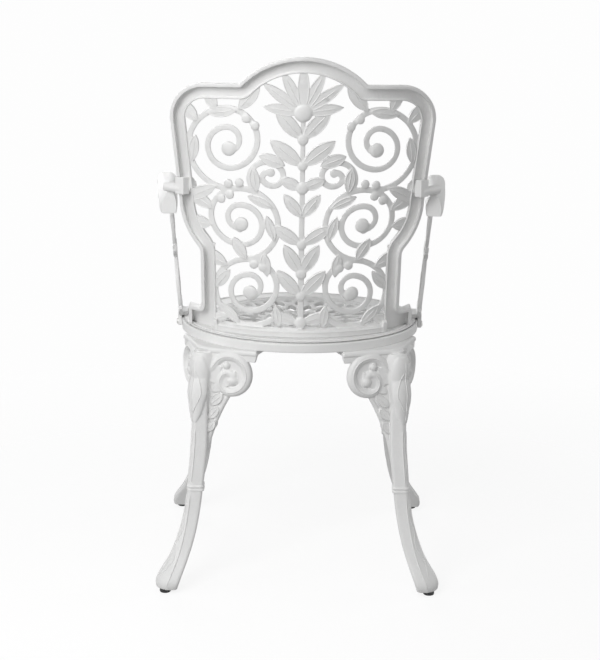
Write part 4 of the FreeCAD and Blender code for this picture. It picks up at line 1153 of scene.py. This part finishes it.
class CHAIR_OT_stage(bpy.types.Operator):
    """Stage: camera, white sweep and window light"""

    bl_idname = "chair.stage"
    bl_label = "Stage"

    def execute(self, context):
        stage = staging()
        scene = context.scene
        scene.view_settings.view_transform = "Standard"
        self.camera(scene, stage)
        self.floor(stage)
        self.room(scene, stage)
        self.lamps(scene, stage)
        return {"FINISHED"}

    def camera(self, scene, stage):
        made = bpy.data.objects.new("camera", bpy.data.cameras.new("camera"))
        scene.collection.objects.link(made)
        made.data.lens = stage.lens
        made.data.sensor_width = SENSOR_WIDTH
        made.data.clip_end = VIEW_END
        made.location = (stage.sideways, SEAT_AXIS + stage.distance, stage.height)
        made.rotation_euler = (math.pi / 2 - stage.pitch, stage.roll, math.pi + stage.turn)
        scene.camera = made

    def seen(self, tree):
        """One for rays that show the backdrop, nought for those that only carry its light."""
        rays = ("Is Camera Ray", "Is Glossy Ray", "Is Transmission Ray")
        return sum(Value.node(tree, "ShaderNodeLightPath", output=ray) for ray in rays).clamped()

    def floor(self, stage):
        """A matt floor that takes the shadow, is lifted to white as seen and fades into the backdrop."""
        corners = [(x * FLOOR_HALF, y * FLOOR_HALF, 0.0) for x, y in ((-1, -1), (1, -1), (1, 1), (-1, 1))]
        made = object_from(mesh_from(corners, [(0, 1, 2, 3)], "floor"), "floor")
        paint, tree, surface, place = shader("white_floor")
        feed(tree, surface, Base_Color=(stage.bounce, stage.bounce, stage.bounce, 1.0),
             Roughness=FLOOR_ROUGHNESS, Specular_IOR_Level=0.0)
        matt = Value(tree, surface.outputs[0])
        glow = Value.node(tree, "ShaderNodeEmission", None, {"Strength": stage.glow})
        sockets = {0: self.seen(tree) * stage.lift, 1: matt, 2: glow}
        lifted = Value.node(tree, "ShaderNodeMixShader", None, sockets)
        away = Value.node(tree, "ShaderNodeVectorMath", {"operation": "LENGTH"}, {0: place}, output="Value")
        fade = away.over(stage.floor_reach * FLOOR_FADE_FROM, stage.floor_reach)
        clear = Value.node(tree, "ShaderNodeBsdfTransparent")
        mixed = Value.node(tree, "ShaderNodeMixShader", None, {0: fade, 1: lifted, 2: clear})
        tree.links.new(mixed.socket, tree.nodes["Material Output"].inputs["Surface"])
        made.data.materials.append(paint)

    def room(self, scene, stage):
        """Light from all round, stronger from above and from the camera's side, and the backdrop as seen."""
        world = bpy.data.worlds.new("room")
        scene.world = world
        world.use_nodes = True
        tree = world.node_tree
        view = Value.node(tree, "ShaderNodeTexCoord", output="Generated")
        rise = Value.node(tree, "ShaderNodeSeparateXYZ", None, {0: view}, output="Z")
        toward = Value.node(tree, "ShaderNodeSeparateXYZ", None, {0: view}, output="Y")
        height = rise.over(*ROOM_SLOPES) * (stage.fill - stage.shade) + stage.shade
        light = height + toward.clamped() * stage.front
        seen = self.seen(tree)
        level = seen * stage.white + (1.0 - seen) * light
        back = tree.nodes["Background"]
        back.inputs["Color"].default_value = (1.0, 1.0, 1.0, 1.0)
        tree.links.new(level.socket, back.inputs["Strength"])

    def lamps(self, scene, stage):
        for name, size, place in LAMPS:
            lamp = bpy.data.lights.new(name, "AREA")
            lamp.shape = "SQUARE"
            lamp.size = size
            lamp.energy = getattr(stage, name)
            made = bpy.data.objects.new(name, lamp)
            scene.collection.objects.link(made)
            made.location = place
            made.rotation_euler = (LAMP_AIM - made.location).to_track_quat("-Z", "Y").to_euler()


class CHAIR_PT_panel(bpy.types.Panel):
    """Lists the steps that dress the chair."""

    bl_idname = "CHAIR_PT_panel"
    bl_label = "Cast armchair"
    bl_space_type = "VIEW_3D"
    bl_region_type = "UI"
    bl_category = "Chair"

    def draw(self, context):
        for step in STEPS:
            self.layout.operator(step.bl_idname)


STEPS = (CHAIR_OT_back, CHAIR_OT_arms, CHAIR_OT_legs, CHAIR_OT_seat, CHAIR_OT_glides, CHAIR_OT_fasteners,
         CHAIR_OT_stage)
GROUPS = {"chair_cast": CastSettings, "chair_coat": CoatSettings, "chair_stage": StageSettings}


def register():
    for name, group in GROUPS.items():
        bpy.utils.register_class(group)
        setattr(bpy.types.Scene, name, PointerProperty(type=group))
    for step in STEPS:
        bpy.utils.register_class(step)
    bpy.utils.register_class(CHAIR_PT_panel)


def unregister():
    bpy.utils.unregister_class(CHAIR_PT_panel)
    for step in reversed(STEPS):
        bpy.utils.unregister_class(step)
    for name, group in GROUPS.items():
        delattr(bpy.types.Scene, name)
        bpy.utils.unregister_class(group)


def main():
    register()
    for step in STEPS:
        group, name = step.bl_idname.split(".")
        getattr(getattr(bpy.ops, group), name)()


if __name__ == "__main__":
    main()
